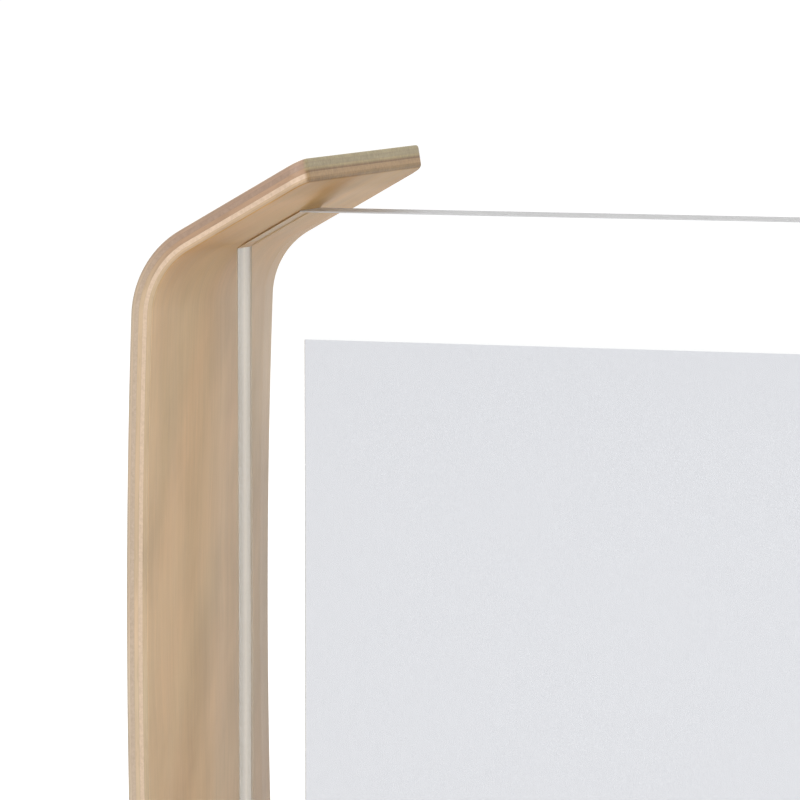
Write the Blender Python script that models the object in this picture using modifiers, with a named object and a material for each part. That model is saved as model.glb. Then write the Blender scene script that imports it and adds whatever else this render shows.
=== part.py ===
"""Digital photo frame: a thick clear panel in a bent plywood band, its display let in from behind.

Metres. +X is to the viewer's right, +Y points to the back, +Z is up.
The origin is on the table, under the middle of the band.
"""
import math

import bmesh
import bpy
from mathutils import Matrix, Vector

# ---------------------------------------------------------------- driving dimensions
GAP = 0.0003                    # clearance between pieces that touch

PLY_T = 0.006                   # thickness of the bent plywood
BAND_W = 0.285                  # widest, at half height of the bowed side walls
BAND_D = 0.0945                 # depth of the band, front edge to back edge
WALL_BOW_R = 2.3                # radius of the side walls' slight outward bow
WALL_MID_Z = 0.107              # height at which the side walls are widest
WALL_UPPER = 0.0897             # length of wall arc above that height
BEND_R = 0.027                  # outer radius of every bend
RETURN_ANGLE = math.radians(29.5)   # slope of the returns over the panel's corners
RETURN_LENGTH = 0.0394          # straight part of a return
TIP_BEVEL = 0.0022              # how far the underside of a return stops short of its top
TIP_CORNER_R = 0.0050           # plan radius of a return's corners
EDGE_R = 0.0009                 # rounding of the band's edges

FOOT_R = 0.007
FOOT_H = 0.002                  # height of the band's underside above the table
FOOT_X = 0.092                  # the four feet's places, left and right, front and back
FOOT_Y = 0.036

PANEL_W = 0.2543
PANEL_H = 0.2057
PANEL_T = 0.016
PANEL_TOP_Z = 0.2224
PANEL_FRONT_Y = -BAND_D / 2 + 0.0414
PANEL_FOOT_R = 0.003            # radius of the panel's two lower corners
PANEL_EDGE_R = 0.0004

SCREEN_W = 0.217
SCREEN_H = 0.136
SCREEN_TOP_MARGIN = 0.035       # clear margin above the screen
POCKET_FLOOR = 0.0045           # clear material left in front of the display pocket

RAIL_LENGTH = 0.190
RAIL_LIP_T = 0.002
RAIL_LIP_TOP_Z = 0.0240
RAIL_EDGE_R = 0.0005
LINER_T = 0.001
LINER_RISE = 0.0006             # how far the liner shows above the rail's lips

COVER_W = 0.190
COVER_H = 0.112
COVER_DEPTH = 0.020
COVER_T = 0.0018
COVER_CORNER_R = 0.008
COVER_RIM_R = 0.0025
COVER_MID_Z = 0.116

BUTTON_R = 0.004
BUTTON_PROUD = 0.0014           # how far a cap stands out of the cover
BUTTON_TOP_BEVEL = (0.0008, 0.0006)     # across and along
BUTTON_FLANGE = 0.0013          # how much wider the flange inside the cover is
BUTTON_FLANGE_T = 0.0008
BUTTON_STEM_R = 0.0015
BUTTON_PITCH = 0.011
BUTTON_TRAVEL_ROOM = 0.0008     # free space under a button's stem
BUTTON_NAMES = ("power", "menu", "previous", "next", "back")
BUTTON_ROW_X = -0.070
BUTTON_ROW_Z = 0.158

# ---------------------------------------------------------------- derived places
HALF_D = BAND_D / 2
BASE_TOP_Z = FOOT_H + PLY_T
PANEL_BOTTOM_Z = PANEL_TOP_Z - PANEL_H
PANEL_MID_Y = PANEL_FRONT_Y + PANEL_T / 2
SCREEN_TOP_Z = PANEL_TOP_Z - SCREEN_TOP_MARGIN
SCREEN_MID_Z = SCREEN_TOP_Z - SCREEN_H / 2

# The display stack, front to back, measured from the panel's front face.
LCD_FRONT = POCKET_FLOOR + GAP
LCD_T = 0.0014
TRAY_FRONT = LCD_FRONT + LCD_T + GAP
TRAY_BACK = PANEL_T - GAP
TRAY_INSET = 0.0012             # the tray is this much smaller than the screen on every side
TRAY_RIM_T = 0.0012
TRAY_FLOOR_T = 0.0015
TRAY_FLOOR = TRAY_BACK - TRAY_FLOOR_T
TRAY_W = SCREEN_W - 2 * TRAY_INSET
TRAY_H = SCREEN_H - 2 * TRAY_INSET
TRAY_INNER_W = TRAY_W - 2 * TRAY_RIM_T
TRAY_INNER_H = TRAY_H - 2 * TRAY_RIM_T
SHEET_W = TRAY_INNER_W - 0.0008
SHEET_H = TRAY_INNER_H - 0.0008
DIFFUSER_T = 0.0004
GUIDE_T = 0.0025
REFLECTOR_T = 0.0003
LED_BAR_H = 0.0032
LED_BAR_INSET = 0.006
DRIVER_BOARD = (0.180, 0.020, 0.001)    # width, height, thickness
DRIVER_BOARD_DROP = 0.045       # how far its middle lies below the screen's
FLEX_W = 0.030
FLEX_T = 0.0003
SEAL_T = 0.003

COVER_FRONT = PANEL_T + GAP
COVER_BACK = COVER_FRONT + COVER_DEPTH
COVER_INNER_BACK = COVER_BACK - COVER_T
MAIN_BOARD_FRONT = 0.0195
BOARD_T = 0.0016
MAIN_BOARD_BACK = MAIN_BOARD_FRONT + BOARD_T

CUT_PAST = 0.001                # how far a cutter runs past the face that it opens
FAR_PAST = 0.01
DOWN = (0.0, 0.0, -1.0)
BACK = (0.0, 1.0, 0.0)

# Screw sizes: head radius, head height, shank radius, length.
BASE_SCREW = (0.0038, 0.0022, 0.0019, 0.0115)
COVER_SCREW = (0.0022, 0.0011, 0.0011, 0.0085)
BASE_SCREW_X = (-0.075, 0.0, 0.075)
COVER_SCREWS = [(x, z) for x in (-0.0865, 0.0865) for z in (0.0675, 0.1645)]

MAIN_BOARD_X = (-0.010, 0.0904)
MAIN_BOARD_Z = (0.088, 0.154)
MAIN_BOARD_SCREWS = [(-0.006, 0.092), (-0.006, 0.150), (0.056, 0.098), (0.056, 0.150)]
FLEX_X = 0.020
FLEX_Z = 0.094
BUTTON_BOARD_FRONT = 0.0262
BUTTON_BOARD_T = 0.0012
BUTTON_BOARD_H = 0.012
BUTTON_BOARD_MARGIN = 0.003     # board beyond its screws
SWITCH_W = 0.006
PLUNGER_R = 0.0017
PLUNGER_LENGTH = 0.0007
BUTTON_BOARD_SCREWS = [(-0.078, BUTTON_ROW_Z), (-0.018, BUTTON_ROW_Z)]
SWITCH_TOP = 0.0312             # back end of a switch's plunger, from the panel's front face
BOARD_HOLE_R = 0.0013
PAN_HEAD_R = 0.0018
PAN_HEAD_H = 0.0009
PAN_SHANK_R = 0.0009
PAN_LENGTH = 0.0042
HEAD_RIM = 0.0002               # straight rim of a countersunk head

CHIP_X = 0.040
CHIP_Z = 0.120
CHIP_W = 0.016
CHIP_T = 0.0015
SINK_W = 0.020
SINK_T = 0.005
SINK_GROOVES = 3
SINK_GROOVE_W = 0.002
SINK_PLATE_T = 0.0015
WIFI_X = 0.007
WIFI_W = 0.014
WIFI_T = 0.002
CELL_R = 0.00625
CELL_T = 0.0022
CELL_X = 0.016
CELL_Z = 0.100
ANTENNA = (0.032, 0.008, 0.0008)        # width, height, thickness
ANTENNA_X = -0.046
ANTENNA_Z = 0.112

SOCKET_MOUTH_X = 0.0926
CARD_Z = 0.138
USB_Z = 0.1125
DC_Z = 0.096
CARD_SOCKET = (0.026, 0.0032, 0.0264)   # length, thickness, width
USB_SOCKET = (0.014, 0.0057, 0.0131)
USB_TONGUE = (0.0095, 0.0015, 0.010)
DC_INLET = (0.013, 0.009, 0.009)
DC_BORE_R = 0.0031
DC_PIN_R = 0.001
DC_DEPTH = 0.009
# Windows in the cover's side: middle and half height along Z, then front and back depth.
SOCKET_WINDOWS = {
    "card_window": (CARD_Z, 0.0145, 0.0200, 0.0260),
    "usb_window": (USB_Z, 0.0080, 0.0202, 0.0282),
    "dc_window": (DC_Z, 0.0058, 0.0202, 0.0316),
}
SPEAKER_X = 0.064
SPEAKER_Z = 0.080
SPEAKER_R = 0.013
SPEAKER_T = 0.005
LEAD_R = 0.0006                 # radius of the thin leads inside
SLOT_H = 0.0016
SLOT_PITCH = 0.004
SLOT_ROWS = (-2, -1, 0, 1, 2)
SPEAKER_SLOT_W = (0.016, 0.010) # middle rows, outer rows
VENT_SLOT_W = 0.040

# ---------------------------------------------------------------- finishes
BIRCH = dict(colour=(0.66, 0.50, 0.34), roughness=0.5)
CLEAR_ACRYLIC = dict(colour=(0.95, 0.97, 0.97), roughness=0.03, alpha=0.3)
SCREEN_GREY = dict(colour=(0.75, 0.76, 0.79), roughness=0.2)
WHITE_FILM = dict(colour=(0.92, 0.92, 0.92), roughness=0.5)
WHITE_PLASTIC = dict(colour=(0.85, 0.85, 0.84), roughness=0.45)
CLEAR_RUBBER = dict(colour=(0.80, 0.80, 0.78), roughness=0.6)
DARK_RUBBER = dict(colour=(0.06, 0.055, 0.05), roughness=0.8)
ALUMINIUM = dict(colour=(0.75, 0.76, 0.77), roughness=0.35, metallic=1.0)
STEEL = dict(colour=(0.62, 0.62, 0.62), roughness=0.3, metallic=1.0)
BOARD_GREEN = dict(colour=(0.03, 0.18, 0.09), roughness=0.5)
CHIP_BLACK = dict(colour=(0.03, 0.03, 0.03), roughness=0.5)
FLEX_AMBER = dict(colour=(0.55, 0.27, 0.06), roughness=0.4)


def depth(distance):
    """Y of a plane that lies this far behind the panel's front face."""
    return PANEL_FRONT_Y + distance


# ---------------------------------------------------------------- helpers
def clear_scene():
    for obj in list(bpy.data.objects):
        bpy.data.objects.remove(obj, do_unlink=True)
    for collection in list(bpy.data.collections):
        bpy.data.collections.remove(collection)


def new_collection(name):
    collection = bpy.data.collections.new(name)
    bpy.context.scene.collection.children.link(collection)
    return collection


def make_material(name, colour, roughness, metallic=0.0, alpha=1.0):
    material = bpy.data.materials.new(name)
    material.use_nodes = True
    shader = material.node_tree.nodes["Principled BSDF"]
    shader.inputs["Base Color"].default_value = (*colour, 1.0)
    shader.inputs["Roughness"].default_value = roughness
    shader.inputs["Metallic"].default_value = metallic
    shader.inputs["Alpha"].default_value = alpha
    material.diffuse_color = (*colour, alpha)
    return material


def add_object(name, mesh, finish=None):
    """Put a mesh in the scene: with a finish it is a part, without one it is a cutter."""
    obj = bpy.data.objects.new(name, mesh)
    if finish is None:
        CUTTERS.objects.link(obj)
        obj.hide_render = True
        obj.display_type = "WIRE"
    else:
        PARTS.objects.link(obj)
        mesh.materials.append(make_material(name, **finish))
    return obj


def mesh_from_bmesh(name, bm):
    bmesh.ops.recalc_face_normals(bm, faces=bm.faces)
    mesh = bpy.data.meshes.new(name)
    bm.to_mesh(mesh)
    bm.free()
    return mesh


def box(name, low, high, finish=None):
    """An axis-aligned block between two corners."""
    low = Vector(low)
    high = Vector(high)
    bm = bmesh.new()
    bmesh.ops.create_cube(bm, size=1.0)
    bmesh.ops.scale(bm, vec=high - low, verts=bm.verts)
    bmesh.ops.translate(bm, vec=(low + high) / 2, verts=bm.verts)
    return add_object(name, mesh_from_bmesh(name, bm), finish)


def slab(name, width, height, mid_x, mid_z, front, back, finish=None):
    """A block given by its size across, its middle, and its depth behind the panel's front face."""
    low = (mid_x - width / 2, depth(front), mid_z - height / 2)
    high = (mid_x + width / 2, depth(back), mid_z + height / 2)
    return box(name, low, high, finish)


def rod(name, radius, start, end, segments=24, finish=None):
    """A cylinder between two points."""
    start = Vector(start)
    end = Vector(end)
    along = end - start
    bm = bmesh.new()
    bmesh.ops.create_cone(bm, cap_ends=True, segments=segments, radius1=radius, radius2=radius,
                          depth=along.length)
    turn = along.to_track_quat("Z", "Y").to_matrix().to_4x4()
    bmesh.ops.transform(bm, matrix=Matrix.Translation((start + end) / 2) @ turn, verts=bm.verts)
    obj = add_object(name, mesh_from_bmesh(name, bm), finish)
    obj.data.shade_smooth()
    obj.data.set_sharp_from_angle(angle=math.radians(40))
    return obj


def turned(name, profile, place, axis, finish=None, steps=20):
    """A turned shape: profile points (radius, height) run from its top to its bottom along the axis."""
    mesh = bpy.data.meshes.new(name)
    points = [(radius, 0.0, height) for radius, height in profile]
    edges = [(index, index + 1) for index in range(len(points) - 1)]
    mesh.from_pydata(points, edges, [])
    obj = add_object(name, mesh, finish)
    obj.rotation_euler = Vector(axis).to_track_quat("Z", "Y").to_euler()
    obj.location = place
    screw = obj.modifiers.new("Turn", "SCREW")
    screw.axis = "Z"
    screw.steps = steps
    screw.render_steps = steps
    screw.use_merge_vertices = True
    screw.merge_threshold = 0.00001
    screw.use_smooth_shade = False
    return obj


def curve_to_mesh(name, curve_obj, finish):
    """Turn a curve object into a welded closed mesh object and remove the curve."""
    bpy.context.view_layer.update()
    evaluated = curve_obj.evaluated_get(bpy.context.evaluated_depsgraph_get())
    mesh = bpy.data.meshes.new_from_object(evaluated)
    bm = bmesh.new()
    bm.from_mesh(mesh)
    bmesh.ops.remove_doubles(bm, verts=bm.verts, dist=0.00001)
    bmesh.ops.dissolve_limit(bm, angle_limit=0.0005, verts=bm.verts, edges=bm.edges)
    bm.to_mesh(mesh)
    bm.free()
    mesh.name = name
    mesh.materials.clear()
    mesh.transform(curve_obj.matrix_world)
    bpy.data.objects.remove(curve_obj, do_unlink=True)
    return add_object(name, mesh, finish)


def outline_plate(name, points, mid_y, thickness, finish=None):
    """A flat closed outline in X and Z, given thickness along Y."""
    curve = bpy.data.curves.new(name + "_outline", "CURVE")
    curve.dimensions = "2D"
    curve.fill_mode = "BOTH"
    curve.extrude = thickness / 2
    spline = curve.splines.new("POLY")
    spline.points.add(len(points) - 1)
    for point, (x, z) in zip(spline.points, points):
        point.co = (x, z, 0.0, 1.0)
    spline.use_cyclic_u = True
    obj = bpy.data.objects.new(name + "_outline", curve)
    bpy.context.scene.collection.objects.link(obj)
    obj.rotation_euler = (math.pi / 2, 0.0, 0.0)
    obj.location = (0.0, mid_y, 0.0)
    return curve_to_mesh(name, obj, finish)


def wire(name, points, radius, finish):
    """A round lead along a few points, smoothed into a curve."""
    smooth = smooth_route([Vector(point) for point in points], 3)
    curve = bpy.data.curves.new(name, "CURVE")
    curve.dimensions = "3D"
    curve.bevel_depth = radius
    curve.bevel_resolution = 2
    curve.use_fill_caps = True
    spline = curve.splines.new("POLY")
    spline.points.add(len(smooth) - 1)
    for point, place in zip(spline.points, smooth):
        point.co = (*place, 1.0)
    obj = bpy.data.objects.new(name, curve)
    PARTS.objects.link(obj)
    curve.materials.append(make_material(name, **finish))
    return obj


def smooth_route(points, per_span):
    """Points of a Catmull-Rom curve through the given ones."""
    padded = [2 * points[0] - points[1], *points, 2 * points[-1] - points[-2]]
    route = []
    for index in range(1, len(padded) - 2):
        before, start, end, after = padded[index - 1:index + 3]
        for step in range(per_span):
            t = step / per_span
            route.append(0.5 * ((2 * start) + (end - before) * t
                                + (2 * before - 5 * start + 4 * end - after) * t ** 2
                                + (3 * start - before - 3 * end + after) * t ** 3))
    route.append(points[-1])
    return route


def rounded_box(name, low, high, corner_r, rim_r, finish=None):
    """A block whose four long edges along Y, and then its back rim, are rounded."""
    obj = box(name, low, high, finish)
    bm = bmesh.new()
    bm.from_mesh(obj.data)
    along = [edge for edge in bm.edges if abs(edge.verts[0].co.y - edge.verts[1].co.y) > 1e-6]
    bmesh.ops.bevel(bm, geom=along, offset=corner_r, segments=4, profile=0.5, affect="EDGES")
    back = max(vert.co.y for vert in bm.verts)
    rim = [edge for edge in bm.edges if all(abs(vert.co.y - back) < 1e-7 for vert in edge.verts)]
    bmesh.ops.bevel(bm, geom=rim, offset=rim_r, segments=2, profile=0.5, affect="EDGES")
    bm.to_mesh(obj.data)
    bm.free()
    return obj


def combine(obj, tool, operation="DIFFERENCE"):
    modifier = obj.modifiers.new(operation.title(), "BOOLEAN")
    modifier.operation = operation
    modifier.solver = "EXACT"
    modifier.object = tool


# ---------------------------------------------------------------- the bent plywood band
def band_side(offset):
    """Points (x, z) of the right half of the band, base to tip, moved in from the outer face by offset."""
    points = []
    wall_centre = (BAND_W / 2 - WALL_BOW_R, WALL_MID_Z)
    reach = WALL_BOW_R - BEND_R
    lean_low = -math.asin((WALL_MID_Z - FOOT_H - BEND_R) / reach)
    lean_high = WALL_UPPER / WALL_BOW_R

    def arc(centre, radius, start, end, steps):
        for step in range(steps + 1):
            angle = start + (end - start) * step / steps
            points.append((centre[0] + radius * math.cos(angle), centre[1] + radius * math.sin(angle)))

    def bend(lean, start, end, steps):
        centre = (wall_centre[0] + reach * math.cos(lean), wall_centre[1] + reach * math.sin(lean))
        arc(centre, BEND_R - offset, start, end, steps)

    bend(lean_low, -math.pi / 2, lean_low, 10)
    del points[-1]
    arc(wall_centre, WALL_BOW_R - offset, lean_low, lean_high, 8)
    del points[-1]
    bend(lean_high, lean_high, math.pi / 2 - RETURN_ANGLE, 8)
    run = RETURN_LENGTH - TIP_BEVEL * offset / PLY_T
    x, z = points[-1]
    points.append((x - run * math.cos(RETURN_ANGLE), z + run * math.sin(RETURN_ANGLE)))
    return points


def mirrored(points):
    return [(-x, z) for x, z in points]


def return_height(x, offset):
    """Height at x of the right return's outer face, moved in by offset."""
    tip_x, tip_z = band_side(offset)[-1]
    return tip_z + (tip_x - x) * math.tan(RETURN_ANGLE)


def round_tip_corners(obj):
    """Round the four corners of the returns, seen from above."""
    bm = bmesh.new()
    bm.from_mesh(obj.data)
    tip_x = band_side(0.0)[-1][0]
    corners = []
    for edge in bm.edges:
        first, second = (vert.co for vert in edge.verts)
        through = abs(first.y - second.y) < 1e-6 and abs(abs(first.y) - HALF_D) < 1e-6
        at_tip = all(abs(vert.co.x) < tip_x + TIP_BEVEL and vert.co.z > SCREEN_TOP_Z for vert in edge.verts)
        if through and at_tip:
            corners.append(edge)
    bmesh.ops.bevel(bm, geom=corners, offset=TIP_CORNER_R, segments=4, profile=0.5, affect="EDGES")
    bm.to_mesh(obj.data)
    bm.free()


def add_edge_rounding(obj, width, segments):
    bevel = obj.modifiers.new("Rounding", "BEVEL")
    bevel.width = width
    bevel.segments = segments
    bevel.limit_method = "ANGLE"
    bevel.angle_limit = math.radians(40)


def build_band():
    outer = band_side(0.0)
    inner = band_side(PLY_T)
    outline = mirrored(outer[::-1]) + outer + inner[::-1] + mirrored(inner)
    band = outline_plate("plywood_band", outline, 0.0, BAND_D, BIRCH)
    round_tip_corners(band)
    add_edge_rounding(band, EDGE_R, 2)
    for index, x in enumerate(BASE_SCREW_X):
        place = (x, PANEL_MID_Y, FOOT_H + GAP)
        combine(band, screw_clearance(f"base_hole_{index + 1}", BASE_SCREW, place, DOWN))
    for side, x in (("left", -FOOT_X), ("right", FOOT_X)):
        for end, y in (("front", -FOOT_Y), ("back", FOOT_Y)):
            rod(f"foot_{end}_{side}", FOOT_R, (x, y, 0.0), (x, y, FOOT_H - GAP), finish=DARK_RUBBER)


# ---------------------------------------------------------------- screws
def screw_profile(size):
    head_r, head_h, shank_r, length = size
    return [(0.0, 0.0), (head_r, 0.0), (head_r, -HEAD_RIM), (shank_r, -head_h),
            (shank_r, -length + shank_r), (shank_r * 0.4, -length), (0.0, -length)]


def screw(name, size, place, axis):
    """A countersunk screw whose head faces along the axis."""
    turned(name, screw_profile(size), place, axis, STEEL, steps=14)


def screw_clearance(name, size, place, axis):
    """The hole that such a screw sits in, open above its head."""
    head_r, head_h, shank_r, length = size
    above = 0.002
    profile = [(0.0, above), (head_r + GAP, above), (head_r + GAP, -HEAD_RIM), (shank_r + GAP, -head_h),
               (shank_r + GAP, -length - GAP), (0.0, -length - GAP)]
    return turned(name, profile, place, axis, steps=14)


def pan_screw(name, place):
    """A small screw with a flat round head, facing the back."""
    profile = [(0.0, PAN_HEAD_H), (PAN_HEAD_R, PAN_HEAD_H), (PAN_HEAD_R, 0.0), (PAN_SHANK_R, 0.0),
               (PAN_SHANK_R, -PAN_LENGTH), (0.0, -PAN_LENGTH)]
    turned(name, profile, place, BACK, STEEL, steps=12)


def board_hole(board, name, x, z, front, back):
    """A hole through a board for a pan screw."""
    start = (x, depth(front - CUT_PAST), z)
    combine(board, rod(name, BOARD_HOLE_R, start, (x, depth(back + CUT_PAST), z), 12))


# ---------------------------------------------------------------- rail under the panel
def build_rail():
    inner_half = PANEL_T / 2 + 2 * GAP + LINER_T
    outer_half = inner_half + RAIL_LIP_T
    liner_floor_z = PANEL_BOTTOM_Z - GAP - LINER_T
    channel_floor_z = liner_floor_z - GAP
    half = RAIL_LENGTH / 2
    rail = box("base_rail", (-half, PANEL_MID_Y - outer_half, BASE_TOP_Z + GAP),
               (half, PANEL_MID_Y + outer_half, RAIL_LIP_TOP_Z), ALUMINIUM)
    add_edge_rounding(rail, RAIL_EDGE_R, 1)
    combine(rail, box("rail_channel", (-half - FAR_PAST, PANEL_MID_Y - inner_half, channel_floor_z),
                      (half + FAR_PAST, PANEL_MID_Y + inner_half, RAIL_LIP_TOP_Z + FAR_PAST)))
    for index, x in enumerate(BASE_SCREW_X):
        place = (x, PANEL_MID_Y, FOOT_H + GAP)
        combine(rail, screw_clearance(f"rail_hole_{index + 1}", BASE_SCREW, place, DOWN))
        screw(f"base_screw_{index + 1}", BASE_SCREW, place, DOWN)
    liner_half = inner_half - GAP
    liner = box("rail_liner", (-half, PANEL_MID_Y - liner_half, liner_floor_z),
                (half, PANEL_MID_Y + liner_half, RAIL_LIP_TOP_Z + LINER_RISE), CLEAR_RUBBER)
    groove_half = PANEL_T / 2 + GAP
    combine(liner, box("liner_channel", (-half - FAR_PAST, PANEL_MID_Y - groove_half, PANEL_BOTTOM_Z - GAP),
                       (half + FAR_PAST, PANEL_MID_Y + groove_half, RAIL_LIP_TOP_Z + FAR_PAST)))


# ---------------------------------------------------------------- the clear panel
def panel_side():
    """Points (x, z) of the right half of the panel's outline, bottom to top."""
    half = PANEL_W / 2
    centre = (half - PANEL_FOOT_R, PANEL_BOTTOM_Z + PANEL_FOOT_R)
    points = []
    for step in range(4):
        angle = -math.pi / 2 + math.pi / 2 * step / 3
        points.append((centre[0] + PANEL_FOOT_R * math.cos(angle),
                       centre[1] + PANEL_FOOT_R * math.sin(angle)))
    low_z = return_height(half, PLY_T + GAP)
    points.append((half, low_z))
    points.append((half - (PANEL_TOP_Z - low_z) / math.tan(RETURN_ANGLE), PANEL_TOP_Z))
    return points


def build_panel():
    side = panel_side()
    outline = mirrored(side[::-1]) + side
    panel = outline_plate("clear_panel", outline, PANEL_MID_Y, PANEL_T, CLEAR_ACRYLIC)
    add_edge_rounding(panel, PANEL_EDGE_R, 1)
    combine(panel, slab("display_pocket", SCREEN_W + 2 * GAP, SCREEN_H + 2 * GAP,
                        0.0, SCREEN_MID_Z, POCKET_FLOOR, PANEL_T + FAR_PAST))


# ---------------------------------------------------------------- display stack inside the pocket
def build_display():
    slab("lcd_glass", SCREEN_W, SCREEN_H, 0.0, SCREEN_MID_Z, LCD_FRONT, LCD_FRONT + LCD_T, SCREEN_GREY)
    front = TRAY_FRONT + GAP
    slab("diffuser_sheet", SHEET_W, SHEET_H, 0.0, SCREEN_MID_Z, front, front + DIFFUSER_T, WHITE_FILM)
    front += DIFFUSER_T + GAP
    back = front + GUIDE_T
    led_low = SCREEN_MID_Z - TRAY_INNER_H / 2 + GAP
    slab("led_bar", SHEET_W - LED_BAR_INSET, LED_BAR_H, 0.0, led_low + LED_BAR_H / 2, front, back, WHITE_FILM)
    guide_low = led_low + LED_BAR_H + GAP
    guide_h = SCREEN_MID_Z + SHEET_H / 2 - guide_low
    slab("light_guide", SHEET_W, guide_h, 0.0, guide_low + guide_h / 2, front, back, CLEAR_ACRYLIC)
    front = back + GAP
    slab("reflector_sheet", SHEET_W, SHEET_H, 0.0, SCREEN_MID_Z, front, front + REFLECTOR_T, WHITE_FILM)
    front += REFLECTOR_T + 2 * GAP
    board_w, board_h, board_t = DRIVER_BOARD
    back = front + board_t
    slab("driver_board", board_w, board_h, 0.0, SCREEN_MID_Z - DRIVER_BOARD_DROP, front, back, BOARD_GREEN)
    slab("display_flex", FLEX_W, FLEX_T, FLEX_X, FLEX_Z, back + GAP, MAIN_BOARD_FRONT - GAP, FLEX_AMBER)


def build_tray():
    """The white tray that closes the pocket and carries the boards and the cover on its posts."""
    tray = slab("display_tray", TRAY_W, TRAY_H, 0.0, SCREEN_MID_Z, TRAY_FRONT, TRAY_BACK, WHITE_PLASTIC)
    combine(tray, slab("tray_hollow", TRAY_INNER_W, TRAY_INNER_H, 0.0, SCREEN_MID_Z,
                       TRAY_FRONT - FAR_PAST, TRAY_FLOOR))
    # Each post: its place, its top, its radius, and the radius and depth of its bore.
    cover_bore = COVER_SCREW[2] + GAP
    board_bore = PAN_SHANK_R + GAP
    posts = [(x, z, MAIN_BOARD_FRONT - GAP, 0.0025, board_bore, 0.003) for x, z in MAIN_BOARD_SCREWS]
    posts += [(x, z, BUTTON_BOARD_FRONT - GAP, 0.0023, board_bore, 0.005) for x, z in BUTTON_BOARD_SCREWS]
    posts += [(x, z, COVER_INNER_BACK - GAP, 0.0035, cover_bore, 0.008) for x, z in COVER_SCREWS]
    for index, (x, z, top, radius, bore, hole) in enumerate(posts):
        rise = top - TRAY_FLOOR - TRAY_FLOOR_T / 2
        profile = [(0.0, -hole), (bore, -hole), (bore, 0.0), (radius, 0.0), (radius, -rise), (0.0, -rise)]
        combine(tray, turned(f"post_{index + 1}", profile, (x, depth(top), z), BACK, steps=12), "UNION")
    slot_w = FLEX_W + 0.004
    slot_h = 0.003
    combine(tray, slab("flex_slot", slot_w, slot_h, FLEX_X, FLEX_Z,
                       TRAY_FLOOR - CUT_PAST, TRAY_BACK + CUT_PAST))
    seal_front = TRAY_BACK - SEAL_T
    seal = slab("pocket_seal", SCREEN_W, SCREEN_H, 0.0, SCREEN_MID_Z, seal_front, TRAY_BACK, WHITE_PLASTIC)
    combine(seal, slab("seal_hole", TRAY_W + 2 * GAP, TRAY_H + 2 * GAP, 0.0, SCREEN_MID_Z,
                       seal_front - FAR_PAST, TRAY_BACK + FAR_PAST))


# ---------------------------------------------------------------- boards and what is on them
def build_main_board():
    back = MAIN_BOARD_BACK + GAP
    low_x, high_x = MAIN_BOARD_X
    low_z, high_z = MAIN_BOARD_Z
    board = box("main_board", (low_x, depth(MAIN_BOARD_FRONT), low_z),
                (high_x, depth(MAIN_BOARD_BACK), high_z), BOARD_GREEN)
    for index, (x, z) in enumerate(MAIN_BOARD_SCREWS):
        board_hole(board, f"board_hole_{index + 1}", x, z, MAIN_BOARD_FRONT, MAIN_BOARD_BACK)
        pan_screw(f"board_screw_{index + 1}", (x, depth(back), z))
    slab("processor", CHIP_W, CHIP_W, CHIP_X, CHIP_Z, back, back + CHIP_T, CHIP_BLACK)
    sink_front = back + CHIP_T + GAP
    sink = slab("heat_sink", SINK_W, SINK_W, CHIP_X, CHIP_Z, sink_front, sink_front + SINK_T, ALUMINIUM)
    for index in range(SINK_GROOVES):
        x = CHIP_X + SINK_W / (SINK_GROOVES + 1) * (index - (SINK_GROOVES - 1) / 2)
        combine(sink, slab(f"sink_groove_{index + 1}", SINK_GROOVE_W, SINK_W + FAR_PAST, x, CHIP_Z,
                           sink_front + SINK_PLATE_T, sink_front + FAR_PAST))
    slab("wifi_module", WIFI_W, WIFI_W, WIFI_X, CHIP_Z, back, back + WIFI_T, STEEL)
    cell_start = (CELL_X, depth(back), CELL_Z)
    rod("clock_cell", CELL_R, cell_start, (CELL_X, depth(back + CELL_T), CELL_Z), 20, STEEL)
    antenna_w, antenna_h, antenna_t = ANTENNA
    antenna_back = COVER_INNER_BACK - GAP
    slab("antenna", antenna_w, antenna_h, ANTENNA_X, ANTENNA_Z, antenna_back - antenna_t, antenna_back,
         BOARD_GREEN)


def socket_body(name, size, z, finish):
    """A block on the back of the main board, along X, whose mouth faces +X."""
    length, thickness, width = size
    front = MAIN_BOARD_BACK + GAP
    low = (SOCKET_MOUTH_X - length, depth(front), z - width / 2)
    high = (SOCKET_MOUTH_X, depth(front + thickness), z + width / 2)
    return box(name, low, high, finish), low, high


def socket_shell(name, size, z, wall, hollow):
    """A socket of sheet steel, hollow from its mouth to some depth."""
    body, low, high = socket_body(name, size, z, STEEL)
    inner_low = (SOCKET_MOUTH_X - hollow, low[1] + wall, low[2] + wall)
    inner_high = (SOCKET_MOUTH_X + FAR_PAST, high[1] - wall, high[2] - wall)
    combine(body, box(name + "_hollow", inner_low, inner_high))
    return body


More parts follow.
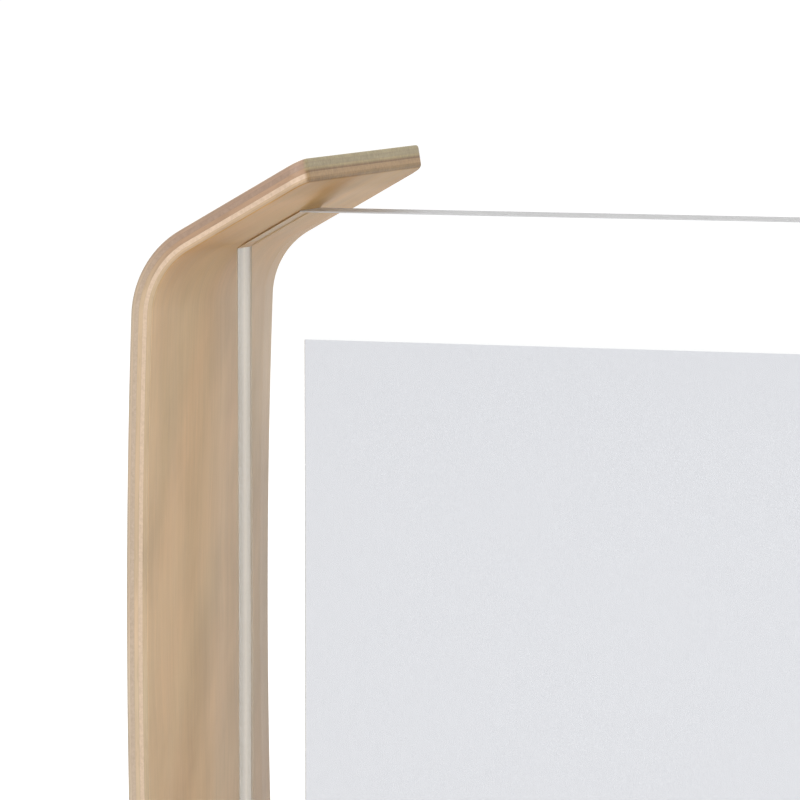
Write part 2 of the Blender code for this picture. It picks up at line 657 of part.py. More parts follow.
def build_sockets():
    socket_shell("card_socket", CARD_SOCKET, CARD_Z, 0.0005, 0.022)
    usb = socket_shell("usb_socket", USB_SOCKET, USB_Z, 0.0004, 0.010)
    tongue_length, tongue_t, tongue_w = USB_TONGUE
    tongue_x = SOCKET_MOUTH_X - 0.001
    tongue_y = depth(MAIN_BOARD_BACK + GAP + 0.0036)
    combine(usb, box("usb_tongue", (tongue_x - tongue_length, tongue_y, USB_Z - tongue_w / 2),
                     (tongue_x, tongue_y + tongue_t, USB_Z + tongue_w / 2)), "UNION")
    inlet, low, high = socket_body("dc_inlet", DC_INLET, DC_Z, CHIP_BLACK)
    middle_y = (low[1] + high[1]) / 2
    bottom_x = SOCKET_MOUTH_X - DC_DEPTH
    bore_end = (SOCKET_MOUTH_X + FAR_PAST, middle_y, DC_Z)
    combine(inlet, rod("inlet_bore", DC_BORE_R, (bottom_x, middle_y, DC_Z), bore_end, 20))
    pin_end = (SOCKET_MOUTH_X - 0.001, middle_y, DC_Z)
    combine(inlet, rod("inlet_pin", DC_PIN_R, (bottom_x - 0.0005, middle_y, DC_Z), pin_end, 10), "UNION")


def lead(name, *route):
    """A thin lead through points given as x, depth behind the panel's front face, and z."""
    wire(name, [(x, depth(distance), z) for x, distance, z in route], LEAD_R, CHIP_BLACK)


def build_speakers_and_leads():
    back = COVER_INNER_BACK - GAP
    cone_r = 0.011
    dust_cap_r = 0.004
    magnet_r = 0.009
    profile = [(0.0, -0.0012), (dust_cap_r, -0.0012), (cone_r, 0.0), (SPEAKER_R, 0.0), (SPEAKER_R, -0.0015),
               (magnet_r, -0.0035), (magnet_r, -SPEAKER_T), (0.0, -SPEAKER_T)]
    for name, x in (("left", -SPEAKER_X), ("right", SPEAKER_X)):
        turned(f"speaker_{name}", profile, (x, depth(back), SPEAKER_Z), BACK, CHIP_BLACK)
    on_board = MAIN_BOARD_BACK + LEAD_R + GAP
    on_speaker = back - SPEAKER_T - LEAD_R - GAP
    on_antenna = back - ANTENNA[2] - LEAD_R - GAP
    on_button_board = BUTTON_BOARD_FRONT - LEAD_R - GAP
    lead("speaker_lead_right", (SPEAKER_X, on_speaker, SPEAKER_Z), (0.064, 0.0255, 0.081),
         (0.061, 0.0230, 0.087), (0.058, on_board, 0.092))
    lead("speaker_lead_left", (-SPEAKER_X, on_speaker, SPEAKER_Z), (-0.050, 0.0245, 0.080),
         (-0.026, 0.0230, 0.088), (-0.006, on_board, 0.098))
    lead("antenna_lead", (-0.032, on_antenna, ANTENNA_Z), (-0.020, 0.0300, 0.114),
         (-0.008, 0.0265, 0.117), (0.005, 0.0240, CHIP_Z))
    lead("button_lead", (-0.024, on_button_board, 0.154), (-0.016, 0.0242, 0.151),
         (-0.009, 0.0228, 0.146), (-0.003, on_board, 0.141))


def build_button_board():
    back = BUTTON_BOARD_FRONT + BUTTON_BOARD_T
    (left_x, _), (right_x, _) = BUTTON_BOARD_SCREWS
    board = slab("button_board", right_x - left_x + 2 * BUTTON_BOARD_MARGIN, BUTTON_BOARD_H,
                 (left_x + right_x) / 2, BUTTON_ROW_Z, BUTTON_BOARD_FRONT, back, BOARD_GREEN)
    for index, (x, z) in enumerate(BUTTON_BOARD_SCREWS):
        board_hole(board, f"button_board_hole_{index + 1}", x, z, BUTTON_BOARD_FRONT, back)
        pan_screw(f"button_board_screw_{index + 1}", (x, depth(back + GAP), z))
    return back


def button_profile():
    """Half section of a button, from its cap's face down to the end of its stem."""
    cap_out = COVER_BACK + BUTTON_PROUD
    flange_out = COVER_INNER_BACK - 2 * GAP - cap_out
    flange_in = flange_out - BUTTON_FLANGE_T
    stem_end = SWITCH_TOP + BUTTON_TRAVEL_ROOM - cap_out
    flange_r = BUTTON_R + BUTTON_FLANGE
    across, along = BUTTON_TOP_BEVEL
    return [(0.0, 0.0), (BUTTON_R - across, 0.0), (BUTTON_R, -along), (BUTTON_R, flange_out),
            (flange_r, flange_out), (flange_r, flange_in), (BUTTON_STEM_R, flange_in),
            (BUTTON_STEM_R, stem_end), (0.0, stem_end)]


def build_buttons():
    """Five buttons in a row, each over its switch. Returns where they stand along X."""
    board_back = build_button_board()
    switch_back = SWITCH_TOP - PLUNGER_LENGTH
    row = [BUTTON_ROW_X + BUTTON_PITCH * index for index in range(len(BUTTON_NAMES))]
    for name, x in zip(BUTTON_NAMES, row):
        cap_place = (x, depth(COVER_BACK + BUTTON_PROUD), BUTTON_ROW_Z)
        turned(f"button_{name}", button_profile(), cap_place, BACK, WHITE_PLASTIC)
        switch = slab(f"switch_{name}", SWITCH_W, SWITCH_W, x, BUTTON_ROW_Z, board_back + GAP, switch_back,
                      CHIP_BLACK)
        plunger_start = (x, depth(switch_back - 0.0005), BUTTON_ROW_Z)
        plunger_end = (x, depth(SWITCH_TOP), BUTTON_ROW_Z)
        combine(switch, rod(f"plunger_{name}", PLUNGER_R, plunger_start, plunger_end, 12), "UNION")
    return row


# ---------------------------------------------------------------- rear cover
def build_cover(button_row):
    half_w = COVER_W / 2
    low_z = COVER_MID_Z - COVER_H / 2
    high_z = COVER_MID_Z + COVER_H / 2
    cover = rounded_box("rear_cover", (-half_w, depth(COVER_FRONT), low_z),
                        (half_w, depth(COVER_BACK), high_z), COVER_CORNER_R, COVER_RIM_R, WHITE_PLASTIC)
    hollow_low = (-half_w + COVER_T, depth(COVER_FRONT - FAR_PAST), low_z + COVER_T)
    hollow_high = (half_w - COVER_T, depth(COVER_INNER_BACK), high_z - COVER_T)
    combine(cover, rounded_box("cover_hollow", hollow_low, hollow_high, COVER_CORNER_R - COVER_T,
                               COVER_RIM_R - COVER_T / 2))
    wall_past = 0.005
    for name, (z, half_z, front, back) in SOCKET_WINDOWS.items():
        combine(cover, box(name, (half_w - wall_past, depth(front), z - half_z),
                           (half_w + wall_past, depth(back), z + half_z)))
    inside = depth(COVER_BACK - wall_past)
    outside = depth(COVER_BACK + wall_past)
    for index, x in enumerate(button_row):
        combine(cover, rod(f"button_hole_{index + 1}", BUTTON_R + GAP, (x, inside, BUTTON_ROW_Z),
                           (x, outside, BUTTON_ROW_Z), 20))
    for index, (x, z) in enumerate(COVER_SCREWS):
        place = (x, depth(COVER_BACK - GAP), z)
        combine(cover, screw_clearance(f"cover_hole_{index + 1}", COVER_SCREW, place, BACK))
        screw(f"cover_screw_{index + 1}", COVER_SCREW, place, BACK)
    middle_w, outer_w = SPEAKER_SLOT_W
    for row in SLOT_ROWS:
        z = SPEAKER_Z + SLOT_PITCH * row
        speaker_w = middle_w if abs(row) < max(SLOT_ROWS) else outer_w
        for x, width in ((-SPEAKER_X, speaker_w), (0.0, VENT_SLOT_W), (SPEAKER_X, speaker_w)):
            combine(cover, box(f"slot_{row}_{x}", (x - width / 2, inside, z - SLOT_H / 2),
                               (x + width / 2, outside, z + SLOT_H / 2)))


# ---------------------------------------------------------------- build
clear_scene()
PARTS = new_collection("digital_photo_frame")
CUTTERS = new_collection("cutters")
build_band()
build_rail()
build_panel()
build_display()
build_tray()
build_main_board()
build_sockets()
build_speakers_and_leads()
build_cover(build_buttons())
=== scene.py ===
"""Finished looks of the digital photo frame: meshes, materials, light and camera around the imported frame.

Metres. +X is to the viewer's right, +Y points to the back, +Z is up, and the table is at z = 0.
"""
import math

import bmesh
import bpy
from mathutils import Matrix, Vector


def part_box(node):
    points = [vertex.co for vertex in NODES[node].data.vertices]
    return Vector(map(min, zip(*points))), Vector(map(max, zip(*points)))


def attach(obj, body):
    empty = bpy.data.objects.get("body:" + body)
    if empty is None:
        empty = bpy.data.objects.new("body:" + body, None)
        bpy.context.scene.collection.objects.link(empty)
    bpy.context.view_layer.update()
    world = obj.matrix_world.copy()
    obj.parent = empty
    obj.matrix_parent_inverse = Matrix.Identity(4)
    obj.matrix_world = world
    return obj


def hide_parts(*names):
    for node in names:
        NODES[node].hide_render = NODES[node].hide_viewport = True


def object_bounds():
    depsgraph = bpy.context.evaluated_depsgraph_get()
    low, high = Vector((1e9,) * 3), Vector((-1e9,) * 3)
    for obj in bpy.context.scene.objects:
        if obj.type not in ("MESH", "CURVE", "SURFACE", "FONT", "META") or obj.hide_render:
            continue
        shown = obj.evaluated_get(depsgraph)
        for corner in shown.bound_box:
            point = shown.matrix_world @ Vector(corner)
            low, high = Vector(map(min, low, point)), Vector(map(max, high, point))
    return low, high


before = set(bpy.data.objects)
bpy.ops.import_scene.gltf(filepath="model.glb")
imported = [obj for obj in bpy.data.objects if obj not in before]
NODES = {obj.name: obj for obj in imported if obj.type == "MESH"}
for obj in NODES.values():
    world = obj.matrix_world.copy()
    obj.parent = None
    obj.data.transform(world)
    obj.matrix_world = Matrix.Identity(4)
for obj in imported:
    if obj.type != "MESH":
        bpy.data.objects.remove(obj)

CAD_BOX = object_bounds()

# ---------------------------------------------------------------- the view
VIEW_AZIMUTH = math.radians(19.58)
VIEW_ELEVATION = math.radians(5.55)
VIEW_DISTANCE = 1.22225
VIEW_TARGET = Vector((-0.06584, -0.04725, 0.17682))     # on the band's front plane, near the screen's corner
VIEW_LENS = 214.25

# ---------------------------------------------------------------- the band, as the frame has it
PLY_T = 0.006
BAND_W = 0.285
WALL_BOW_R = 2.3
WALL_MID_Z = 0.107
WALL_UPPER = 0.0897
BEND_R = 0.027
RETURN_ANGLE = math.radians(29.5)
RETURN_LENGTH = 0.0394
TIP_BEVEL = 0.0022
TIP_CORNER_R = 0.0050
EDGE_R = 0.0009
BAND_LOW, BAND_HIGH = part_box("plywood_band")
HALF_D = BAND_HIGH.y
BASE_Z = BAND_LOW.z
PLIES = 5
PLY_MARGIN = 0.0005             # keeps the outermost faces inside their plies

# ---------------------------------------------------------------- the clear panel and the display
PANEL_LOW, PANEL_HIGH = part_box("clear_panel")
PANEL_FOOT_R = 0.003
PANEL_EDGE_R = 0.0004
CONTACT = 0.00002               # hairline between the panel's clipped corners and the band
POCKET_FLOOR = 0.0045
PIXEL = 0.00027
SCREEN_LOW, SCREEN_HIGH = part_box("pocket_seal")
GAP = 0.0003                    # clearance between pieces that touch

# ---------------------------------------------------------------- rail, screws, feet, cover and buttons
RAIL_LIP_T = 0.002
LINER_T = 0.001
RAIL_EASE = 0.0005
LINER_EASE = 0.0003
FOOT_EASE = 0.0005
FOOT_TAPER = 0.97               # sole's radius, of the top's
FOOT_RING = 0.55                # radius of the ring in the sole, of the foot's
FOOT_RING_HALF_W = 0.0005
FOOT_RING_DEPTH = 0.0003

# Screw sizes: head radius, head height, shank radius, length.
BASE_SCREW = (0.0038, 0.0022, 0.0019, 0.0115)
COVER_SCREW = (0.0022, 0.0011, 0.0011, 0.0085)
HEAD_RIM = 0.0002
THREAD_PITCH = 0.0006
THREAD_DEPTH = 0.12             # of the shank's radius
THREAD_TAIL = 0.4               # radius of the screw's end, of the shank's
CROSS_ARM = 0.62                # arm and half width of the cross, of the head's radius
CROSS_HALF = 0.16
CROSS_DEPTH = 0.7               # of the head's height
CROSS_TAPER = 0.6               # the cross's size at its floor, of that at the face
HOLE_RISE = 0.002               # how far a cutter for a screw hole stands above the screw's face

COVER_LOW, COVER_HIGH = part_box("rear_cover")
COVER_T = 0.0018
COVER_CORNER_R = 0.008
COVER_RIM_R = 0.0025
WINDOW_MARGIN = 0.0013
SOCKETS = ("card_socket", "usb_socket", "dc_inlet")
SLOT_H = 0.0016
SLOT_PITCH = 0.004
SLOT_ROWS = (-2, -1, 0, 1, 2)
SPEAKER_SLOT_W = (0.016, 0.010)
VENT_SLOT_W = 0.040

BUTTON_NAMES = ("power", "menu", "previous", "next", "back")
BUTTON_R = 0.004
BUTTON_FLANGE = 0.0013
BUTTON_FLANGE_T = 0.0008
BUTTON_STEM_R = 0.0015
BUTTON_PROUD = 0.0014
BUTTON_DISH = 0.00035
BUTTON_DISH_R = 0.84            # of the cap's radius
BUTTON_EASE = 0.00045
SIGN_R = 0.0017                 # half of a button's sign, and the width and depth of its lines
SIGN_LINE = 0.0004
SIGN_DEPTH = 0.00015
POWER_GAP = 35                  # degrees from the power sign's bar to each end of its ring

NODE_EASE = 0.00015             # edges of simple pieces behind the cover
DOWN = Vector((0.0, 0.0, -1.0))
BACK = Vector((0.0, 1.0, 0.0))

UNBENT = "unbent"               # attribute: where a point of the band was in its flat sheet


# ---------------------------------------------------------------- building materials
def new_material(name):
    material = bpy.data.materials.new(name)
    material.use_nodes = True
    material.node_tree.nodes.clear()
    return material, material.node_tree


def add(tree, kind, inputs=None, **settings):
    """A node with its settings, and its inputs set to values or linked to sockets."""
    made = tree.nodes.new("ShaderNode" + kind)
    for key, value in settings.items():
        setattr(made, key, value)
    for key, value in (inputs or {}).items():
        if isinstance(value, bpy.types.NodeSocket):
            tree.links.new(value, made.inputs[key])
        else:
            made.inputs[key].default_value = value
    return made


def maths(tree, operation, *values):
    made = add(tree, "Math", dict(enumerate(values)), operation=operation)
    return made.outputs[0]


def scaled(tree, vector, scale):
    """A vector stretched by three factors, which is how a pattern gets its size along each direction."""
    made = add(tree, "VectorMath", {0: vector, 1: scale}, operation="MULTIPLY")
    return made.outputs[0]


def noise(tree, vector, scale=1.0, detail=4.0, roughness=0.55):
    inputs = {"Vector": vector, "Scale": scale, "Detail": detail, "Roughness": roughness}
    return add(tree, "TexNoise", inputs).outputs["Fac"]


def ramp(tree, factor, *stops):
    """Colours or greys at places from 0 to 1."""
    made = add(tree, "ValToRGB", {"Fac": factor})
    elements = made.color_ramp.elements
    while len(elements) < len(stops):
        elements.new(0.5)
    for element, (place, colour) in zip(elements, stops):
        element.position = place
        element.color = (*colour, 1.0) if hasattr(colour, "__len__") else (colour, colour, colour, 1.0)
    return made.outputs["Color"]


def mix_colour(tree, factor, first, second, blend_type="MIX"):
    first = (*first, 1.0) if isinstance(first, tuple) else first
    second = (*second, 1.0) if isinstance(second, tuple) else second
    made = add(tree, "Mix", {0: factor, 6: first, 7: second}, data_type="RGBA", blend_type=blend_type)
    return made.outputs[2]


def multiplied(tree, first, second, factor=1.0):
    return mix_colour(tree, factor, first, second, "MULTIPLY")


def shifted(tree, vector, part, amount):
    """A vector with an amount added to one of its parts, 0 to 2."""
    offset = add(tree, "CombineXYZ", {part: amount}).outputs[0]
    return add(tree, "VectorMath", {0: vector, 1: offset}, operation="ADD").outputs[0]


def share(tree, value, start, end):
    """How far a value is from the start to the end, held between 0 and 1."""
    return add(tree, "MapRange", {"Value": value, "From Min": start, "From Max": end}).outputs[0]


def object_coordinates(tree):
    return add(tree, "TexCoord").outputs["Object"]


def finish_surface(tree, inputs):
    shader = add(tree, "BsdfPrincipled", inputs)
    add(tree, "OutputMaterial", {"Surface": shader.outputs[0]})


def bump(tree, height, strength, distance):
    return add(tree, "Bump", {"Height": height, "Strength": strength, "Distance": distance}).outputs[0]


# ---------------------------------------------------------------- birch plywood
def long_grain(tree, flat, depth, led, fibres, bands):
    """Face veneer: soft bands, fibres, a slanting mottle with a faint blush, and pores."""
    pores = noise(tree, scaled(tree, led, (90.0, 3200.0, 3200.0)), detail=2.0)
    flame = shifted(tree, flat, 0, maths(tree, "MULTIPLY", depth, 1.1))
    mottle = noise(tree, scaled(tree, flame, (34.0, 46.0, 40.0)), detail=3.0, roughness=0.5)
    blush = noise(tree, scaled(tree, flame, (22.0, 34.0, 40.0)), detail=2.0)
    face = ramp(tree, bands, (0.32, (0.615, 0.440, 0.262)), (0.50, (0.658, 0.474, 0.288)),
                (0.68, (0.690, 0.507, 0.318)))
    face = multiplied(tree, face, ramp(tree, fibres, (0.30, 0.80), (0.62, 1.06)), 0.45)
    face = multiplied(tree, face, ramp(tree, mottle, (0.30, 0.80), (0.60, 1.07)), 0.60)
    warmth = ramp(tree, blush, (0.35, (0.97, 1.01, 1.0)), (0.65, (1.03, 0.98, 0.95)))
    face = multiplied(tree, face, warmth, 0.70)
    return multiplied(tree, face, ramp(tree, pores, (0.30, 0.70), (0.42, 1.0)), 0.35)


def cross_grain(tree, flat):
    """Veneer whose fibres run from front to back, so the band's front edge shows their ends."""
    cross = noise(tree, scaled(tree, flat, (900.0, 22.0, 900.0)), detail=5.0, roughness=0.7)
    return ramp(tree, cross, (0.30, (0.50, 0.375, 0.262)), (0.65, (0.62, 0.475, 0.340)))


def ply_tones_and_painted_light(tree, inward):
    """A tone for each ply, partly its own and partly painted light: the greyish outermost ply is painted
    shade of the outer edge, the bright fourth ply a painted highlight of the inner edge, and the darker
    tones next to the inner face painted shade that dims the rounded inner edge's highlight.
    """
    tones = ramp(tree, inward, (0.0, (0.87, 0.94, 1.13)), (0.2, (0.90, 0.92, 0.97)),
                 (0.4, (0.90, 0.93, 1.02)), (0.6, (1.12, 1.12, 1.14)), (0.8, (0.80, 0.82, 0.87)),
                 (0.88, (0.72, 0.74, 0.79)), (0.985, 1.0))
    tones.node.color_ramp.interpolation = "CONSTANT"
    return tones


def end_grain(tree, flat, inward):
    """What the sawn ends of the band take up: speckled and greenish, with the inner plies darker."""
    speckle = noise(tree, scaled(tree, flat, (60.0, 1100.0, 1100.0)), detail=4.0, roughness=0.7)
    grain = ramp(tree, speckle, (0.30, (0.70, 0.84, 0.69)), (0.68, (1.00, 1.20, 1.00)))
    layers = ramp(tree, inward, (0.45, 1.0), (0.55, (0.60, 0.46, 0.41)), (0.68, (0.62, 0.45, 0.38)))
    return multiplied(tree, grain, layers)


def return_tones_and_painted_cast(tree, inward, from_tip, depth):
    """Tones of the two returns and their bends: the edges' outer plies, inner plies, and the underside. The
    band's inner face behind the clear block's front is also painted bluer, a painted cast that stands in for
    how the wood looks through the block.
    """
    near_tip = maths(tree, "DIVIDE", from_tip, BEND_R + RETURN_LENGTH)
    outer = ramp(tree, near_tip, (0.0, (0.68, 0.60, 0.59)), (0.60, (0.72, 0.64, 0.62)), (1.0, 1.0))
    outer = mix_colour(tree, ramp(tree, inward, (0.01, 0.0), (0.06, 1.0)), (1.0, 1.0, 1.0), outer)
    inner = ramp(tree, near_tip, (0.0, (0.98, 0.96, 0.97)), (0.60, (1.08, 1.06, 1.06)), (1.0, 1.0))
    edges = mix_colour(tree, maths(tree, "GREATER_THAN", inward, 0.6), outer, inner)
    underside = ramp(tree, near_tip, (0.0, (0.86, 0.66, 0.31)), (0.12, (0.94, 0.73, 0.35)),
                     (0.20, (1.12, 0.91, 0.55)), (0.33, (1.07, 0.86, 0.47)), (0.60, (1.00, 0.80, 0.48)),
                     (0.75, (1.0, 0.87, 0.66)), (1.0, 1.0))
    # Painted cast: the inner face behind the block's front is painted bluer, standing in for the view
    # through the clear block.
    behind = share(tree, depth, PANEL_LOW.y, HALF_D / 2)
    underside = multiplied(tree, underside, ramp(tree, behind, (0.0, 1.0), (1.0, (1.02, 1.08, 1.28))))
    return mix_colour(tree, maths(tree, "GREATER_THAN", inward, 0.96), edges, underside)


def birch_plywood():
    """Plies of birch as a solid: long grain and cross grain in turn, so each face and edge shows its own."""
    material, tree = new_material("birch_plywood")
    flat = add(tree, "Attribute", attribute_name=UNBENT).outputs["Vector"]
    parts = add(tree, "SeparateXYZ", {0: flat}).outputs
    inward = maths(tree, "MULTIPLY_ADD", parts["Z"], (1.0 - 2.0 * PLY_MARGIN) / PLY_T, PLY_MARGIN)
    ply = maths(tree, "MULTIPLY", inward, PLIES)
    from_tip = maths(tree, "SUBTRACT", BAND_HALF_LENGTH, maths(tree, "ABSOLUTE", parts["X"]))
    waver = noise(tree, scaled(tree, flat, (14.0, 26.0, 30.0)), detail=2.0)
    led = shifted(tree, flat, 1, maths(tree, "MULTIPLY", waver, 0.010))
    fibres = noise(tree, scaled(tree, led, (22.0, 900.0, 900.0)), detail=5.0, roughness=0.62)
    bands = noise(tree, scaled(tree, led, (5.0, 75.0, 20.0)), detail=3.0)

    face = long_grain(tree, flat, parts["Y"], led, fibres, bands)
    turn = maths(tree, "FLOOR", maths(tree, "MODULO", ply, 2.0))
    wood = mix_colour(tree, turn, face, cross_grain(tree, flat))
    # Ply tones, partly painted highlight and painted shade on the band's edges.
    wood = multiplied(tree, wood, ply_tones_and_painted_light(tree, inward))
    tip = share(tree, from_tip, EDGE_R, EDGE_R / 3)
    wood = mix_colour(tree, tip, wood, multiplied(tree, wood, end_grain(tree, flat, inward)))
    wood = multiplied(tree, wood, return_tones_and_painted_cast(tree, inward, from_tip, parts["Y"]))
    seam = maths(tree, "ABSOLUTE", maths(tree, "SUBTRACT", maths(tree, "FRACT", ply), 0.5))
    glued = mix_colour(tree, ramp(tree, seam, (0.45, 0.0), (0.49, 0.30)), wood, (0.27, 0.17, 0.10))
    height = maths(tree, "ADD", fibres, maths(tree, "MULTIPLY", bands, 0.5))
    finish_surface(tree, {
        "Base Color": glued,
        "Roughness": ramp(tree, fibres, (0.3, 0.44), (0.7, 0.54)),
        "Specular IOR Level": 0.3,
        "Coat Weight": 0.05,
        "Coat Roughness": 0.4,
        "Normal": bump(tree, height, 0.25, 0.0001),
    })
    return material


# ---------------------------------------------------------------- other materials
def let_light_through(tree, surface, tint):
    """Clear to shadow and bounced rays, so lamps reach what lies behind the clear plastic."""
    path = add(tree, "LightPath").outputs
    passing = maths(tree, "MAXIMUM", path["Is Shadow Ray"], path["Is Diffuse Ray"])
    clear = add(tree, "BsdfTransparent", {"Color": (*tint, 1.0)}).outputs[0]
    both = add(tree, "MixShader", {0: passing, 1: surface, 2: clear}).outputs[0]
    add(tree, "OutputMaterial", {"Surface": both})


def clear_acrylic(name, roughness, haze):
    material, tree = new_material(name)
    place = object_coordinates(tree)
    scratches = noise(tree, scaled(tree, place, (700.0, 60.0, 700.0)), detail=3.0)
    shader = add(tree, "BsdfPrincipled", {
        "Base Color": (0.985, 0.992, 0.990, 1.0),
        "Roughness": ramp(tree, scratches, (0.35, roughness - haze), (0.65, roughness + haze)),
        "IOR": 1.49,
        "Transmission Weight": 1.0,
    })
    let_light_through(tree, shader.outputs[0], (0.93, 0.94, 0.94))
    return material


def sanded_acrylic_with_painted_light(name, *stops):
    """A cut edge of the block, finely sanded so that it scatters light. The stops go from front to back, and
    their tones are painted light and shade on the sanded face, not a colour of its own.
    """
    material, tree = new_material(name)
    place = object_coordinates(tree)
    y = add(tree, "SeparateXYZ", {0: place}).outputs["Y"]
    through = share(tree, y, PANEL_LOW.y, PANEL_HIGH.y)
    grit = noise(tree, scaled(tree, place, (2600.0, 2600.0, 900.0)), detail=3.0)
    saw = noise(tree, scaled(tree, place, (60.0, 700.0, 60.0)), detail=2.0)
    # Painted light and shade across the edge's depth, with faint saw marks.
    tone = multiplied(tree, ramp(tree, through, *stops), ramp(tree, saw, (0.30, 0.95), (0.70, 1.05)))
    shader = add(tree, "BsdfPrincipled", {
        "Base Color": tone,
        "Roughness": ramp(tree, grit, (0.3, 0.34), (0.7, 0.50)),
        "IOR": 1.49,
        "Transmission Weight": 0.35,
        "Normal": bump(tree, grit, 0.3, 0.00002),
    })
    let_light_through(tree, shader.outputs[0], (0.86, 0.86, 0.85))
    return material


def bonded_birch_with_painted_shadow():
    """Birch seen through the clear block where the two are stuck together: warmer as if wet, and darker as a
    painted contact shadow along the joint.
    """
    material, tree = new_material("bonded_birch_with_painted_shadow")
    place = object_coordinates(tree)
    fibres = noise(tree, scaled(tree, place, (120.0, 900.0, 120.0)), detail=4.0)
    finish_surface(tree, {
        "Base Color": ramp(tree, fibres, (0.30, (0.50, 0.345, 0.195)), (0.70, (0.58, 0.405, 0.235))),
        "Roughness": ramp(tree, fibres, (0.3, 0.4), (0.7, 0.55)),
    })
    return material


def screen_surface():
    """The display, lit pale grey: a fine check of light and dark dots under its glossy front."""
    material, tree = new_material("screen")
    place = object_coordinates(tree)
    check = add(tree, "TexChecker", {
        "Vector": place,
        "Scale": 1 / PIXEL,
        "Color1": (0.616, 0.621, 0.650, 1.0),
        "Color2": (0.620, 0.625, 0.654, 1.0),
    }).outputs["Color"]
    finish_surface(tree, {
        "Base Color": multiplied(tree, check, (0.10, 0.10, 0.11)),
        "Roughness": ramp(tree, noise(tree, place, 900.0, 2.0), (0.3, 0.22), (0.7, 0.28)),
        "Emission Color": check,
        "Emission Strength": 1.0,
    })
    return material


def moulded_plastic(name, colour, grain=0.00003, roughness=0.45):
    """Spark-eroded moulded plastic."""
    material, tree = new_material(name)
    place = object_coordinates(tree)
    texture = noise(tree, place, 2600.0, 3.0)
    flow = noise(tree, place, 30.0, 3.0)
    dark = tuple(part * 0.975 for part in colour)
    finish_surface(tree, {
        "Base Color": ramp(tree, flow, (0.3, dark), (0.7, colour)),
        "Roughness": ramp(tree, texture, (0.3, roughness - 0.06), (0.7, roughness + 0.08)),
        "Normal": bump(tree, texture, 0.35, grain),
    })
    return material


def rubber(name, colour, roughness=0.75, clear=0.0):
    material, tree = new_material(name)
    place = object_coordinates(tree)
    speckle = noise(tree, place, 1800.0, 4.0)
    light = tuple(min(1.0, part * 1.35 + 0.01) for part in colour)
    finish_surface(tree, {
        "Base Color": ramp(tree, speckle, (0.3, colour), (0.75, light)),
        "Roughness": ramp(tree, speckle, (0.3, roughness - 0.1), (0.7, roughness + 0.1)),
        "Transmission Weight": clear,
        "Normal": bump(tree, speckle, 0.4, 0.00004),
    })
    return material


def brushed_metal(name, colour, stretch, roughness=0.32, depth=0.86):
    """Metal with fine lines drawn along one direction, as dark as depth says."""
    material, tree = new_material(name)
    place = object_coordinates(tree)
    lines = noise(tree, scaled(tree, place, stretch), detail=4.0)
    dark = tuple(part * depth for part in colour)
    finish_surface(tree, {
        "Base Color": ramp(tree, lines, (0.3, dark), (0.7, colour)),
        "Metallic": 1.0,
        "Roughness": ramp(tree, lines, (0.3, roughness - 0.08), (0.7, roughness + 0.10)),
        "Normal": bump(tree, lines, 0.2, 0.00002),
    })
    return material


def circuit_board():
    """Green solder mask over copper tracks, with tinned pads."""
    material, tree = new_material("circuit_board")
    place = object_coordinates(tree)
    tracks = add(tree, "TexBrick", {
        "Vector": add(tree, "Mapping", {"Vector": place, "Rotation": (math.pi / 2, 0.0, 0.0)}).outputs[0],
        "Color1": (0.012, 0.130, 0.055, 1.0),
        "Color2": (0.018, 0.165, 0.075, 1.0),
        "Mortar": (0.005, 0.075, 0.030, 1.0),
        "Scale": 300.0,
        "Mortar Size": 0.04,
        "Brick Width": 1.4,
        "Row Height": 0.30,
    }).outputs["Color"]
    pads = add(tree, "TexVoronoi", {"Vector": place, "Scale": 420.0}, feature="DISTANCE_TO_EDGE")
    dots = ramp(tree, pads.outputs["Distance"], (0.40, 0.0), (0.46, 1.0))
    finish_surface(tree, {
        "Base Color": mix_colour(tree, dots, tracks, (0.62, 0.58, 0.50)),
        "Roughness": ramp(tree, noise(tree, place, 500.0), (0.3, 0.32), (0.7, 0.46)),
        "Metallic": dots,
        "Coat Weight": 0.3,
        "Coat Roughness": 0.2,
    })
    return material


def film(name, low, high, roughness):
    material, tree = new_material(name)
    place = object_coordinates(tree)
    cloud = noise(tree, place, 90.0, 4.0)
    finish_surface(tree, {
        "Base Color": ramp(tree, cloud, (0.3, low), (0.7, high)),
        "Roughness": ramp(tree, cloud, (0.3, roughness - 0.05), (0.7, roughness + 0.05)),
        "Normal": bump(tree, noise(tree, place, 3000.0), 0.1, 0.00001),
    })
    return material


# ---------------------------------------------------------------- building meshes
def new_piece(name, bm, materials, body, slot, *nodes):
    """Turn a bmesh into a shown piece that stands for some nodes of the frame."""
    bmesh.ops.recalc_face_normals(bm, faces=bm.faces)
    mesh = bpy.data.meshes.new(name)
    bm.to_mesh(mesh)
    bm.free()
    piece = bpy.data.objects.new(name, mesh)
    bpy.context.scene.collection.objects.link(piece)
    for material in materials:
        mesh.materials.append(material)
    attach(piece, body)
    if nodes:
        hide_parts(*nodes)
    return piece


def shade(piece, angle_deg=35.0):
    """Smooth, but for edges sharper than the angle."""
    piece.data.shade_smooth()
    piece.data.set_sharp_from_angle(angle=math.radians(angle_deg))
    normals = piece.modifiers.new("Normals", "WEIGHTED_NORMAL")
    normals.keep_sharp = True


def plate(points, low, high, axis="Y"):
    """A closed outline given thickness along an axis. Its points are in the other two axes, in order."""
    def place(first, second, along):
        return {"X": (along, first, second), "Y": (first, along, second), "Z": (first, second, along)}[axis]

    bm = bmesh.new()
    near = bm.faces.new([bm.verts.new(place(first, second, low)) for first, second in points])
    far = bmesh.ops.extrude_face_region(bm, geom=[near])["geom"]
    moved = [item for item in far if isinstance(item, bmesh.types.BMVert)]
    bmesh.ops.translate(bm, vec=place(0.0, 0.0, high - low), verts=moved)
    bmesh.ops.recalc_face_normals(bm, faces=bm.faces)
    return bm


